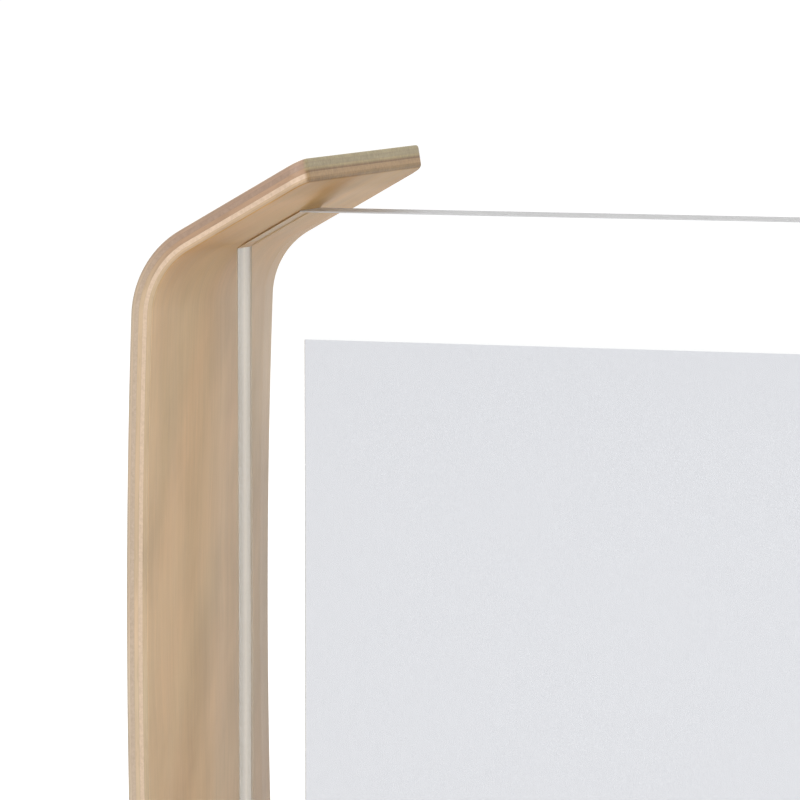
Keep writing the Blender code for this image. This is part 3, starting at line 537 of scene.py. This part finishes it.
def eased(points, radius, steps=4, closed=True):
    """An outline or a profile whose corners are rounded, by up to half of the shorter side at each."""
    result = []
    last = len(points) - 1
    for index, point in enumerate(points):
        here = Vector(point)
        if not closed and index in (0, last):
            result.append(here)
            continue
        before = Vector(points[index - 1]) - here
        after = Vector(points[(index + 1) % len(points)]) - here
        reach = min(radius, 0.49 * before.length, 0.49 * after.length)
        start = here + before.normalized() * reach
        end = here + after.normalized() * reach
        for step in range(steps + 1):
            t = step / steps
            result.append((1 - t) ** 2 * start + 2 * t * (1 - t) * here + t ** 2 * end)
    return result


def rounded_rectangle(low, high, radius, steps=8):
    """Points of a rectangle with round corners, between two corners given in the outline's plane."""
    corners = ((high[0], high[1]), (low[0], high[1]), (low[0], low[1]), (high[0], low[1]))
    points = []
    for turn, (x, y) in enumerate(corners):
        centre_x = x - math.copysign(radius, x - (low[0] + high[0]) / 2)
        centre_y = y - math.copysign(radius, y - (low[1] + high[1]) / 2)
        for step in range(steps + 1):
            angle = math.pi / 2 * (turn + step / steps)
            points.append((centre_x + radius * math.cos(angle), centre_y + radius * math.sin(angle)))
    return points


def turned(profile, place, axis, steps=40):
    """A turned bmesh: profile points (radius, height) run from its top to its bottom, both on the axis."""
    bm = bmesh.new()
    verts = [bm.verts.new((radius, 0.0, height)) for radius, height in profile]
    edges = [bm.edges.new(pair) for pair in zip(verts, verts[1:])]
    bmesh.ops.spin(bm, geom=[*verts, *edges], axis=(0.0, 0.0, 1.0), cent=(0.0, 0.0, 0.0),
                   angle=2 * math.pi, steps=steps, use_merge=True)
    bmesh.ops.remove_doubles(bm, verts=bm.verts, dist=1e-7)
    turn = Vector(axis).to_track_quat("Z", "Y").to_matrix().to_4x4()
    bmesh.ops.transform(bm, matrix=Matrix.Translation(place) @ turn, verts=bm.verts)
    bmesh.ops.recalc_face_normals(bm, faces=bm.faces)
    return bm


def round_edges(bm, chosen, width, segments):
    edges = [edge for edge in bm.edges if chosen(edge)]
    bmesh.ops.bevel(bm, geom=edges, offset=width, segments=segments, profile=0.5, affect="EDGES",
                    clamp_overlap=True)


def is_corner(edge, degrees=40.0):
    return len(edge.link_faces) == 2 and edge.calc_face_angle() > math.radians(degrees)


def merged(shapes):
    """One bmesh of several that don't touch."""
    whole = bmesh.new()
    for shape in shapes:
        mesh = bpy.data.meshes.new("shape")
        shape.to_mesh(mesh)
        shape.free()
        whole.from_mesh(mesh)
        bpy.data.meshes.remove(mesh)
    return whole


def without(bm, cutter):
    """A bmesh that has another one's shape taken out of it."""
    shapes = []
    for shape in (bm, cutter):
        mesh = bpy.data.meshes.new("shape")
        shape.to_mesh(mesh)
        shape.free()
        shapes.append(bpy.data.objects.new("shape", mesh))
        bpy.context.scene.collection.objects.link(shapes[-1])
    body, tool = shapes
    modifier = body.modifiers.new("Cut", "BOOLEAN")
    modifier.object = tool
    modifier.solver = "EXACT"
    bpy.context.view_layer.update()
    evaluated = body.evaluated_get(bpy.context.evaluated_depsgraph_get())
    result = bmesh.new()
    result.from_mesh(evaluated.to_mesh())
    evaluated.to_mesh_clear()
    for shape in shapes:
        mesh = shape.data
        bpy.data.objects.remove(shape, do_unlink=True)
        bpy.data.meshes.remove(mesh)
    return result


def box_bmesh(low, high):
    bm = bmesh.new()
    bmesh.ops.create_cube(bm, size=1.0)
    bmesh.ops.scale(bm, vec=Vector(high) - Vector(low), verts=bm.verts)
    bmesh.ops.translate(bm, vec=(Vector(low) + Vector(high)) / 2, verts=bm.verts)
    return bm


def middle_of(node):
    low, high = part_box(node)
    return (low + high) / 2


# ---------------------------------------------------------------- the plywood band
def band_arcs():
    """Centre, radius and two angles of each arc of the band's right outer face, from the base up."""
    middle = Vector((BAND_W / 2 - WALL_BOW_R, WALL_MID_Z))
    reach = WALL_BOW_R - BEND_R
    low = -math.asin((WALL_MID_Z - BASE_Z - BEND_R) / reach)
    high = WALL_UPPER / WALL_BOW_R
    centres = [middle + reach * Vector((math.cos(lean), math.sin(lean))) for lean in (low, high)]
    return [(centres[0], BEND_R, -math.pi / 2, low), (middle, WALL_BOW_R, low, high),
            (centres[1], BEND_R, high, math.pi / 2 - RETURN_ANGLE)]


BAND_ARCS = band_arcs()
BASE_HALF = BAND_ARCS[0][0].x
ARC_LENGTHS = [radius * (end - start) for _, radius, start, end in BAND_ARCS]
BAND_HALF_LENGTH = BASE_HALF + sum(ARC_LENGTHS) + RETURN_LENGTH


def on_band(along, inward):
    """(x, z) at a distance along the outer face from the middle of the base, moved in from that face."""
    side = math.copysign(1.0, along)
    rest = abs(along) - BASE_HALF
    if rest <= 0.0:
        return along, BASE_Z + inward
    for (centre, radius, start, _), length in zip(BAND_ARCS, ARC_LENGTHS):
        if rest <= length:
            angle = start + rest / radius
            reach = radius - inward
            return side * (centre.x + reach * math.cos(angle)), centre.y + reach * math.sin(angle)
        rest -= length
    centre, radius, _, end = BAND_ARCS[-1]
    reach = radius - inward
    run = rest * (1 - TIP_BEVEL * inward / PLY_T / RETURN_LENGTH)
    x = centre.x + reach * math.cos(end) - run * math.cos(RETURN_ANGLE)
    z = centre.y + reach * math.sin(end) + run * math.sin(RETURN_ANGLE)
    return side * x, z


def return_height(x, inward):
    """Height at x of a return's face, moved in from the outer one."""
    tip_x, tip_z = on_band(BAND_HALF_LENGTH, inward)
    return tip_z + (tip_x - x) * math.tan(RETURN_ANGLE)


def fold_lines():
    """Distances along the band at which its flat sheet is cut, so that it bends smoothly."""
    lines = [BASE_HALF * step / 6 for step in range(1, 7)]
    start = BASE_HALF
    for length, steps in zip(ARC_LENGTHS, (30, 16, 24)):
        lines += [start + length * step / steps for step in range(1, steps + 1)]
        start += length
    return [0.0] + lines + [-line for line in lines]


def numbered(name, count):
    return [f"{name}_{index + 1}" for index in range(count)]


def build_band(material):
    """The flat sheet with rounded corners and edges, then bent. An attribute keeps each flat place."""
    corners = []
    for sign_u, sign_y, first in ((1, 1, 0), (-1, 1, 1), (-1, -1, 2), (1, -1, 3)):
        for step in range(9):
            angle = math.pi / 2 * (first + step / 8)
            u = sign_u * (BAND_HALF_LENGTH - TIP_CORNER_R) + TIP_CORNER_R * math.cos(angle)
            y = sign_y * (HALF_D - TIP_CORNER_R) + TIP_CORNER_R * math.sin(angle)
            corners.append((u, y))
    bm = bmesh.new()
    sheet = bm.faces.new([bm.verts.new((u, y, 0.0)) for u, y in corners])
    top = bmesh.ops.extrude_face_region(bm, geom=[sheet])
    moved = [item for item in top["geom"] if isinstance(item, bmesh.types.BMVert)]
    bmesh.ops.translate(bm, vec=(0.0, 0.0, PLY_T), verts=moved)
    bmesh.ops.recalc_face_normals(bm, faces=bm.faces)
    round_edges(bm, is_corner, EDGE_R, 5)
    heads = [(*middle_of(node).xy, GAP) for node in numbered("base_screw", 3)]
    bm = without(bm, merged(screw_clearance(BASE_SCREW, head, DOWN) for head in heads))
    for line in fold_lines():
        everything = [*bm.verts, *bm.edges, *bm.faces]
        bmesh.ops.bisect_plane(bm, geom=everything, dist=1e-7, plane_co=(line, 0.0, 0.0),
                               plane_no=(1.0, 0.0, 0.0))
    flat = [vert.co.copy() for vert in bm.verts]
    for vert in bm.verts:
        x, z = on_band(vert.co.x, vert.co.z)
        vert.co = (x, vert.co.y, z)
    band = new_piece("bent_band", bm, [material], "frame", "birch_plywood", "plywood_band")
    places = band.data.attributes.new(UNBENT, "FLOAT_VECTOR", "POINT")
    places.data.foreach_set("vector", [part for place in flat for part in place])
    shade(band)


# ---------------------------------------------------------------- the clear panel
def panel_outline():
    half = PANEL_HIGH.x
    low_z = return_height(half, PLY_T + CONTACT)
    right = []
    for step in range(9):
        angle = -math.pi / 2 + math.pi / 2 * step / 8
        right.append((half - PANEL_FOOT_R + PANEL_FOOT_R * math.cos(angle),
                      PANEL_LOW.z + PANEL_FOOT_R + PANEL_FOOT_R * math.sin(angle)))
    right.append((half, low_z))
    right.append((half - (PANEL_HIGH.z - low_z) / math.tan(RETURN_ANGLE), PANEL_HIGH.z))
    return right + [(-x, z) for x, z in reversed(right)]


def build_panel(*finishes):
    """The clear block: polished faces and pocket, satin sides and top, and clipped corners stuck down."""
    polished, satin_side, satin_top, stuck = range(len(finishes))
    bm = plate(panel_outline(), PANEL_LOW.y, PANEL_HIGH.y)
    round_edges(bm, is_corner, PANEL_EDGE_R, 3)
    low = Vector((SCREEN_LOW.x - GAP, SCREEN_LOW.z - GAP))
    high = Vector((SCREEN_HIGH.x + GAP, SCREEN_HIGH.z + GAP))
    pocket = [(low.x, low.y), (high.x, low.y), (high.x, high.y), (low.x, high.y)]
    bm = without(bm, plate(pocket, PANEL_LOW.y + POCKET_FLOOR, PANEL_HIGH.y + COVER_T))
    for face in bm.faces:
        middle = face.calc_center_median()
        in_pocket = low.x - GAP < middle.x < high.x + GAP and low.y - GAP < middle.z < high.y + GAP
        lean = math.atan2(face.normal.z, abs(face.normal.x)) + RETURN_ANGLE - math.pi / 2
        if in_pocket or abs(face.normal.y) > 0.99:
            face.material_index = polished
        elif abs(lean) < 0.01:
            face.material_index = stuck
        else:
            face.material_index = satin_top if lean > 0 else satin_side
    new_piece("clear_block", bm, finishes, "frame", "clear_acrylic", "clear_panel")


def build_screen(material):
    """The display cell, fitted right up to the walls of its pocket, with fine bevels at its edges."""
    low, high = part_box("lcd_glass")
    spare = Vector((GAP - CONTACT, 0.0, GAP - CONTACT))
    bm = box_bmesh(low - spare, high + spare)
    round_edges(bm, is_corner, CONTACT * 5, 2)
    new_piece("display_cell", bm, [material], "frame", "screen", "lcd_glass")


# ---------------------------------------------------------------- screws, feet and rail
def screw_profile(size, rise=0.0, room=0.0):
    """Half section of a countersunk screw's head, or, with some room, of the hole that it sits in."""
    head_r, head_h, shank_r, _ = size
    return [(0.0, rise), (head_r + room, rise), (head_r + room, -HEAD_RIM), (shank_r + room, -head_h)]


def screw_clearance(size, place, axis):
    """A cutter for the hole that a screw sits in, open above its face."""
    _, _, shank_r, length = size
    profile = screw_profile(size, HOLE_RISE, GAP) + [(shank_r + GAP, -length - GAP), (0.0, -length - GAP)]
    return turned(profile, place, axis, 32)


def cross_recess(size, place, axis):
    """A cutter for the cross in a screw's head."""
    head_r, head_h, _, _ = size
    arm = head_r * CROSS_ARM
    half = head_r * CROSS_HALF
    outline = []
    for turn in range(4):
        spin = Matrix.Rotation(math.pi / 2 * turn, 2)
        outline += [spin @ Vector((arm, -half)), spin @ Vector((arm, half)), spin @ Vector((half, half))]
    cutter = plate(outline, -head_h * CROSS_DEPTH, head_h, "Z")
    floor = min(vert.co.z for vert in cutter.verts)
    for vert in cutter.verts:
        if vert.co.z == floor:
            vert.co.xy *= CROSS_TAPER
    turn = axis.to_track_quat("Z", "Y").to_matrix().to_4x4()
    bmesh.ops.transform(cutter, matrix=Matrix.Translation(place) @ turn, verts=cutter.verts)
    return cutter


def build_screws(material, nodes, size, axis, name):
    """Cross-head countersunk screws with a rolled thread, in the places of the frame's plain ones."""
    _, head_h, shank_r, length = size
    root_r = shank_r * (1 - THREAD_DEPTH)
    turns = int((length - head_h - shank_r) / THREAD_PITCH)
    thread = []
    for turn in range(turns):
        crest = -head_h - THREAD_PITCH * (turn + 0.5)
        thread += [(root_r, crest + THREAD_PITCH / 2), (shank_r, crest)]
    tail = [(root_r, thread[-1][1] - THREAD_PITCH / 2), (shank_r * THREAD_TAIL, -length), (0.0, -length)]
    for index, node in enumerate(nodes):
        low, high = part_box(node)
        place = (low + high) / 2
        if axis == BACK:
            place.y = high.y
        else:
            place.z = low.z
        bm = turned(screw_profile(size) + thread + tail, place, axis, 32)
        bm = without(bm, cross_recess(size, place, axis))
        shade(new_piece(f"{name}_{index + 1}", bm, [material], "frame", "steel", node), 30.0)


def build_feet(material):
    """Moulded rubber feet: a soft lower edge and a shallow ring in the sole."""
    for node in ("foot_front_left", "foot_front_right", "foot_back_left", "foot_back_right"):
        low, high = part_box(node)
        radius = (high.x - low.x) / 2
        height = high.z - low.z
        ring = radius * FOOT_RING
        profile = [(0.0, height), (radius, height), (radius * FOOT_TAPER, 0.0),
                   (ring + FOOT_RING_HALF_W, 0.0), (ring, FOOT_RING_DEPTH), (ring - FOOT_RING_HALF_W, 0.0),
                   (0.0, 0.0)]
        place = (*middle_of(node).xy, low.z)
        bm = turned(eased(profile, FOOT_EASE, 4, closed=False), place, -DOWN, 48)
        shade(new_piece(node.replace("foot", "sole"), bm, [material], "frame", "dark_rubber", node), 30.0)


def channel(node, wall, floor_z, ease):
    """A bmesh of an upright U section along X that fills a node's box."""
    low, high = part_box(node)
    outline = [(low.y, low.z), (high.y, low.z), (high.y, high.z), (high.y - wall, high.z),
               (high.y - wall, floor_z), (low.y + wall, floor_z), (low.y + wall, high.z), (low.y, high.z)]
    bm = plate(eased(outline, ease, 5), low.x, high.x, "X")
    ends = (low.x, high.x)

    def at_an_end(edge):
        return any(all(abs(vert.co.x - end) < 1e-6 for vert in edge.verts) for end in ends)

    round_edges(bm, at_an_end, ease / 3, 2)
    return bm


def build_rail(metal, silicone):
    liner_low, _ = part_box("rail_liner")
    rail = channel("base_rail", RAIL_LIP_T, liner_low.z - GAP, RAIL_EASE)
    holes = []
    for node in numbered("base_screw", 3):
        place = middle_of(node)
        place.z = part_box(node)[0].z
        holes.append(screw_clearance(BASE_SCREW, place, DOWN))
    rail = without(rail, merged(holes))
    shade(new_piece("foot_rail", rail, [metal], "frame", "aluminium", "base_rail"), 30.0)
    liner = channel("rail_liner", LINER_T, PANEL_LOW.z - GAP, LINER_EASE)
    shade(new_piece("rail_lining", liner, [silicone], "frame", "clear_rubber", "rail_liner"), 30.0)


# ---------------------------------------------------------------- rear cover and buttons
def cover_shell(inset):
    """The cover's outer shape, or its hollow, which is inset all round and open to the front."""
    low = (COVER_LOW.x + inset, COVER_LOW.z + inset)
    high = (COVER_HIGH.x - inset, COVER_HIGH.z - inset)
    back = COVER_HIGH.y - inset
    front = COVER_LOW.y - inset
    bm = plate(rounded_rectangle(low, high, COVER_CORNER_R - inset), front, back)
    round_edges(bm, lambda edge: all(abs(vert.co.y - back) < 1e-7 for vert in edge.verts),
                COVER_RIM_R - inset / 2, 6)
    return bm


def cover_slots():
    """Cutters for the rows of round-ended slots over the speakers and the vent."""
    middle_w, outer_w = SPEAKER_SLOT_W
    left = middle_of("speaker_left")
    right = middle_of("speaker_right")
    cutters = []
    for row in SLOT_ROWS:
        z = left.z + SLOT_PITCH * row
        speaker_w = middle_w if abs(row) < max(SLOT_ROWS) else outer_w
        for x, width in ((left.x, speaker_w), (0.0, VENT_SLOT_W), (right.x, speaker_w)):
            outline = rounded_rectangle((x - width / 2, z - SLOT_H / 2), (x + width / 2, z + SLOT_H / 2),
                                        SLOT_H * 0.49, 5)
            cutters.append(plate(outline, COVER_HIGH.y - 2 * COVER_T, COVER_HIGH.y + COVER_T))
    return cutters


def cover_windows():
    """Cutters for the round-cornered windows in the cover's side, one in front of each socket."""
    cutters = []
    for node in SOCKETS:
        low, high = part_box(node)
        outline = rounded_rectangle((low.y - WINDOW_MARGIN, low.z - WINDOW_MARGIN),
                                    (high.y + WINDOW_MARGIN, high.z + WINDOW_MARGIN), WINDOW_MARGIN)
        cutters.append(plate(outline, COVER_HIGH.x - 2 * COVER_T, COVER_HIGH.x + COVER_T, "X"))
    return cutters


def build_cover(material):
    """The moulded shell, with a small chamfer round each button hole."""
    face_y = COVER_HIGH.y
    hole_r = BUTTON_R + GAP
    cutters = cover_slots() + cover_windows()
    for name in BUTTON_NAMES:
        place = middle_of(f"button_{name}")
        place.y = face_y
        profile = [(0.0, COVER_T), (hole_r + GAP, COVER_T), (hole_r + GAP, 0.0), (hole_r, -GAP),
                   (hole_r, -2 * COVER_T), (0.0, -2 * COVER_T)]
        cutters.append(turned(profile, place, BACK, 48))
    for node in numbered("cover_screw", 4):
        place = middle_of(node)
        place.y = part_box(node)[1].y
        cutters.append(screw_clearance(COVER_SCREW, place, BACK))
    bm = without(without(cover_shell(0.0), cover_shell(COVER_T)), merged(cutters))
    shade(new_piece("back_shell", bm, [material], "frame", "white_plastic", "rear_cover"), 32.0)


def sign_outlines(name):
    """Outlines of a button's plain sign, as (x, z) about its middle. From behind, +X is to the left."""
    half = SIGN_LINE / 2
    if name == "power":
        sweep = 360 - 2 * POWER_GAP
        angles = [math.radians(POWER_GAP + sweep * step / 24) for step in range(25)]
        outer = [(SIGN_R * math.sin(angle), SIGN_R * math.cos(angle)) for angle in angles]
        inner_r = SIGN_R - SIGN_LINE
        inner = [(inner_r * math.sin(angle), inner_r * math.cos(angle)) for angle in reversed(angles)]
        foot = 0.2 * SIGN_R
        return [outer + inner, [(-half, foot), (half, foot), (half, SIGN_R), (-half, SIGN_R)]]
    if name == "menu":
        rows = [(row * 2 * SIGN_LINE - half, row * 2 * SIGN_LINE + half) for row in (-1, 0, 1)]
        return [[(-SIGN_R, low), (SIGN_R, low), (SIGN_R, high), (-SIGN_R, high)] for low, high in rows]
    if name == "back":
        neck = 0.2 * SIGN_R
        barb = 0.8 * SIGN_R
        return [[(SIGN_R, 0.0), (neck, barb), (neck, half), (-SIGN_R, half), (-SIGN_R, -half), (neck, -half),
                 (neck, -barb)]]
    tip = -SIGN_R if name == "previous" else SIGN_R
    base = -0.6 * tip
    corner = 0.9 * SIGN_R
    return [[(tip, 0.0), (base, corner), (base, -corner)]]


def build_buttons(material, print_material):
    """Caps with a dished face, a soft edge and a sunk sign, each on its flange and stem."""
    dish_r = BUTTON_R * BUTTON_DISH_R
    dish = [(dish_r * step / 6, -BUTTON_DISH * (1 - (step / 6) ** 2)) for step in range(7)]
    flange_out = -COVER_T - BUTTON_PROUD - 2 * GAP
    flange_in = flange_out - BUTTON_FLANGE_T
    flange_r = BUTTON_R + BUTTON_FLANGE
    for name in BUTTON_NAMES:
        low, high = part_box(f"button_{name}")
        stem_end = low.y - high.y
        body = [(BUTTON_R, 0.0), (BUTTON_R, flange_out), (flange_r, flange_out), (flange_r, flange_in),
                (BUTTON_STEM_R, flange_in), (BUTTON_STEM_R, stem_end), (0.0, stem_end)]
        profile = dish + eased([dish[-1], *body], BUTTON_EASE, 5, closed=False)[1:]
        place = middle_of(f"button_{name}")
        place.y = high.y
        floor_y = high.y - BUTTON_DISH - SIGN_DEPTH
        cutters = []
        for outline in sign_outlines(name):
            points = [(place.x + x, place.z + z) for x, z in outline]
            cutters.append(plate(points, floor_y, high.y + GAP))
        bm = without(turned(profile, place, BACK, 64), merged(cutters))
        for face in bm.faces:
            if abs(face.calc_center_median().y - floor_y) < CONTACT and abs(face.normal.y) > 0.99:
                face.material_index = 1
        piece = new_piece(f"cap_{name}", bm, [material, print_material], f"button_{name}", "white_plastic",
                          f"button_{name}")
        shade(piece, 40.0)


# ---------------------------------------------------------------- materials of the frame's own nodes
def give(material, slot, *names):
    """A material in place of the plain one on some nodes. The slot argument is not used."""
    for name in names:
        node = NODES[name]
        node.data.materials.clear()
        node.data.materials.append(material)


def soften(*names):
    """Small round edges on simple pieces."""
    for name in names:
        bevel = NODES[name].modifiers.new("Edges", "BEVEL")
        bevel.width = NODE_EASE
        bevel.segments = 2
        bevel.limit_method = "ANGLE"
        bevel.angle_limit = math.radians(50)


def dress_nodes(white):
    """Materials for the pieces that keep the frame's own shapes, most of them behind the cover."""
    black = moulded_plastic("black_plastic", (0.035, 0.035, 0.037))
    aluminium = brushed_metal("sink_aluminium", (0.78, 0.79, 0.80), (600.0, 600.0, 1500.0))
    steel = brushed_metal("pressed_steel", (0.60, 0.60, 0.61), (600.0, 600.0, 90.0), 0.3)
    board = circuit_board()
    white_film = film("white_film", (0.86, 0.86, 0.86), (0.93, 0.93, 0.93), 0.5)
    amber = film("flex_film", (0.42, 0.19, 0.04), (0.58, 0.29, 0.07), 0.35)
    switches = [f"switch_{name}" for name in BUTTON_NAMES]
    give(white, "white_plastic", "display_tray", "pocket_seal")
    give(black, "black_plastic", "processor", "dc_inlet", "speaker_left", "speaker_right",
         "speaker_lead_left", "speaker_lead_right", "antenna_lead", "button_lead", *switches)
    give(aluminium, "aluminium", "heat_sink")
    give(steel, "steel", "wifi_module", "clock_cell", "card_socket", "usb_socket",
         *numbered("board_screw", 4), *numbered("button_board_screw", 2))
    give(board, "circuit_board", "main_board", "driver_board", "button_board", "antenna")
    give(white_film, "white_film", "diffuser_sheet", "reflector_sheet", "led_bar")
    give(clear_acrylic("light_guide", 0.08, 0.02), "clear_acrylic", "light_guide")
    give(amber, "flex_film", "display_flex")
    soften("processor", "wifi_module", "heat_sink", "led_bar", *SOCKETS, *switches)


# ---------------------------------------------------------------- floor, light and camera
FLOOR_SIZE = 40.0
FLOOR_COLOUR = (0.80, 0.80, 0.80)
FLOOR_FLECK = tuple(part * 0.99 for part in FLOOR_COLOUR)
FLOOR_GLOW = 0.50
AMBIENT = 0.70

# Lights: place, side length, power.
KEY_LIGHT = ((1.05, -1.25, 1.05), 1.1, 21.0)
FILL_LIGHT = ((-1.2, 0.9, 1.3), 1.4, 6.0)


def seen_directly(tree):
    """1 for rays from the camera, from a glossy surface or through a clear one, and 0 for the others."""
    path = add(tree, "LightPath").outputs
    straight = maths(tree, "MAXIMUM", path["Is Camera Ray"], path["Is Glossy Ray"])
    return maths(tree, "MAXIMUM", straight, path["Is Transmission Ray"])


def build_floor():
    """A pale floor that can be seen through from below."""
    bm = bmesh.new()
    bmesh.ops.create_grid(bm, x_segments=4, y_segments=4, size=FLOOR_SIZE)
    mesh = bpy.data.meshes.new("floor")
    bm.to_mesh(mesh)
    bm.free()
    floor = bpy.data.objects.new("floor", mesh)
    bpy.context.scene.collection.objects.link(floor)
    material, tree = new_material("floor")
    paper = noise(tree, object_coordinates(tree), 400.0, 2.0)
    matte = add(tree, "BsdfDiffuse", {"Color": ramp(tree, paper, (0.3, FLOOR_FLECK), (0.7, FLOOR_COLOUR))})
    level = maths(tree, "MULTIPLY", seen_directly(tree), FLOOR_GLOW)
    glow = add(tree, "Emission", {"Strength": level})
    top = add(tree, "AddShader", {0: matte.outputs[0], 1: glow.outputs[0]})
    below = add(tree, "NewGeometry").outputs["Backfacing"]
    clear = add(tree, "BsdfTransparent")
    both = add(tree, "MixShader", {0: below, 1: top.outputs[0], 2: clear.outputs[0]})
    add(tree, "OutputMaterial", {"Surface": both.outputs[0]})
    mesh.materials.append(material)


def build_world():
    world = bpy.data.worlds.new("studio")
    bpy.context.scene.world = world
    world.use_nodes = True
    tree = world.node_tree
    tree.nodes.clear()
    level = maths(tree, "ADD", AMBIENT, maths(tree, "MULTIPLY", seen_directly(tree), 1.0 - AMBIENT))
    glow = add(tree, "Background", {"Color": (1.0, 1.0, 1.0, 1.0), "Strength": level})
    add(tree, "OutputWorld", {"Surface": glow.outputs[0]})


def area_light(name, target, place, size, power):
    """A square lamp turned to its target."""
    light = bpy.data.lights.new(name, "AREA")
    light.shape = "RECTANGLE"
    light.size = size
    light.size_y = size
    light.energy = power
    obj = bpy.data.objects.new(name, light)
    bpy.context.scene.collection.objects.link(obj)
    obj.location = place
    obj.rotation_euler = (Vector(target) - Vector(place)).to_track_quat("-Z", "Y").to_euler()


def build_lights():
    middle = (CAD_BOX[0] + CAD_BOX[1]) / 2
    area_light("key", middle, *KEY_LIGHT)
    area_light("fill", middle, *FILL_LIGHT)


def build_camera():
    level = math.cos(VIEW_ELEVATION)
    away = Vector((level * math.sin(VIEW_AZIMUTH), -level * math.cos(VIEW_AZIMUTH),
                   math.sin(VIEW_ELEVATION)))
    data = bpy.data.cameras.new("camera")
    data.lens = VIEW_LENS
    data.sensor_width = 36.0
    data.clip_start = 0.01
    data.clip_end = 200.0
    camera = bpy.data.objects.new("camera", data)
    bpy.context.scene.collection.objects.link(camera)
    camera.location = VIEW_TARGET + VIEW_DISTANCE * away
    camera.rotation_mode = "QUATERNION"
    camera.rotation_quaternion = (-away).to_track_quat("-Z", "Y")
    bpy.context.scene.camera = camera


# ---------------------------------------------------------------- build
build_camera()
build_world()
build_lights()
build_floor()
build_band(birch_plywood())
# Painted light on the sanded sides: brown tones that stand in for the wood's light seen in them, lighter on
# the front bevel, darkest just behind it, brightest at about three fifths of the depth, and falling off
# towards the back.
SANDED_SIDES_PAINTED_LIGHT = sanded_acrylic_with_painted_light(
    "sanded_sides_painted_light", (0.0, (0.56, 0.48, 0.38)), (0.04, (0.26, 0.205, 0.135)), (0.30, (0.34, 0.28, 0.20)),
    (0.56, (0.56, 0.465, 0.35)), (0.72, (0.47, 0.395, 0.29)), (0.95, (0.37, 0.30, 0.22)))
# Painted shade on the sanded top: a mid grey that darkens the thin top face, which is seen at a grazing
# angle.
SANDED_TOP_PAINTED_SHADE = sanded_acrylic_with_painted_light("sanded_top_painted_shade", (0.0, (0.45, 0.45, 0.455)), (1.0, (0.47, 0.47, 0.475)))
build_panel(clear_acrylic("clear_acrylic", 0.0, 0.0), SANDED_SIDES_PAINTED_LIGHT, SANDED_TOP_PAINTED_SHADE, bonded_birch_with_painted_shadow())
build_screen(screen_surface())
build_screws(brushed_metal("zinc_plated", (0.66, 0.66, 0.67), (900.0, 900.0, 900.0), 0.28),
             numbered("cover_screw", 4), COVER_SCREW, BACK, "shell_screw")
build_screws(brushed_metal("zinc_plated_large", (0.66, 0.66, 0.67), (500.0, 500.0, 500.0), 0.28),
             numbered("base_screw", 3), BASE_SCREW, DOWN, "rail_screw")
build_feet(rubber("dark_rubber", (0.045, 0.040, 0.036)))
build_rail(brushed_metal("anodised", (0.78, 0.79, 0.80), (5.0, 2200.0, 2200.0), 0.36, 0.94),
           rubber("clear_rubber", (0.75, 0.75, 0.72), 0.5, 0.6))
WHITE = moulded_plastic("white_plastic", (0.82, 0.82, 0.81))
build_cover(WHITE)
build_buttons(WHITE, moulded_plastic("sign_grey", (0.16, 0.16, 0.165)))
dress_nodes(WHITE)
bpy.context.scene.view_settings.view_transform = "Standard"
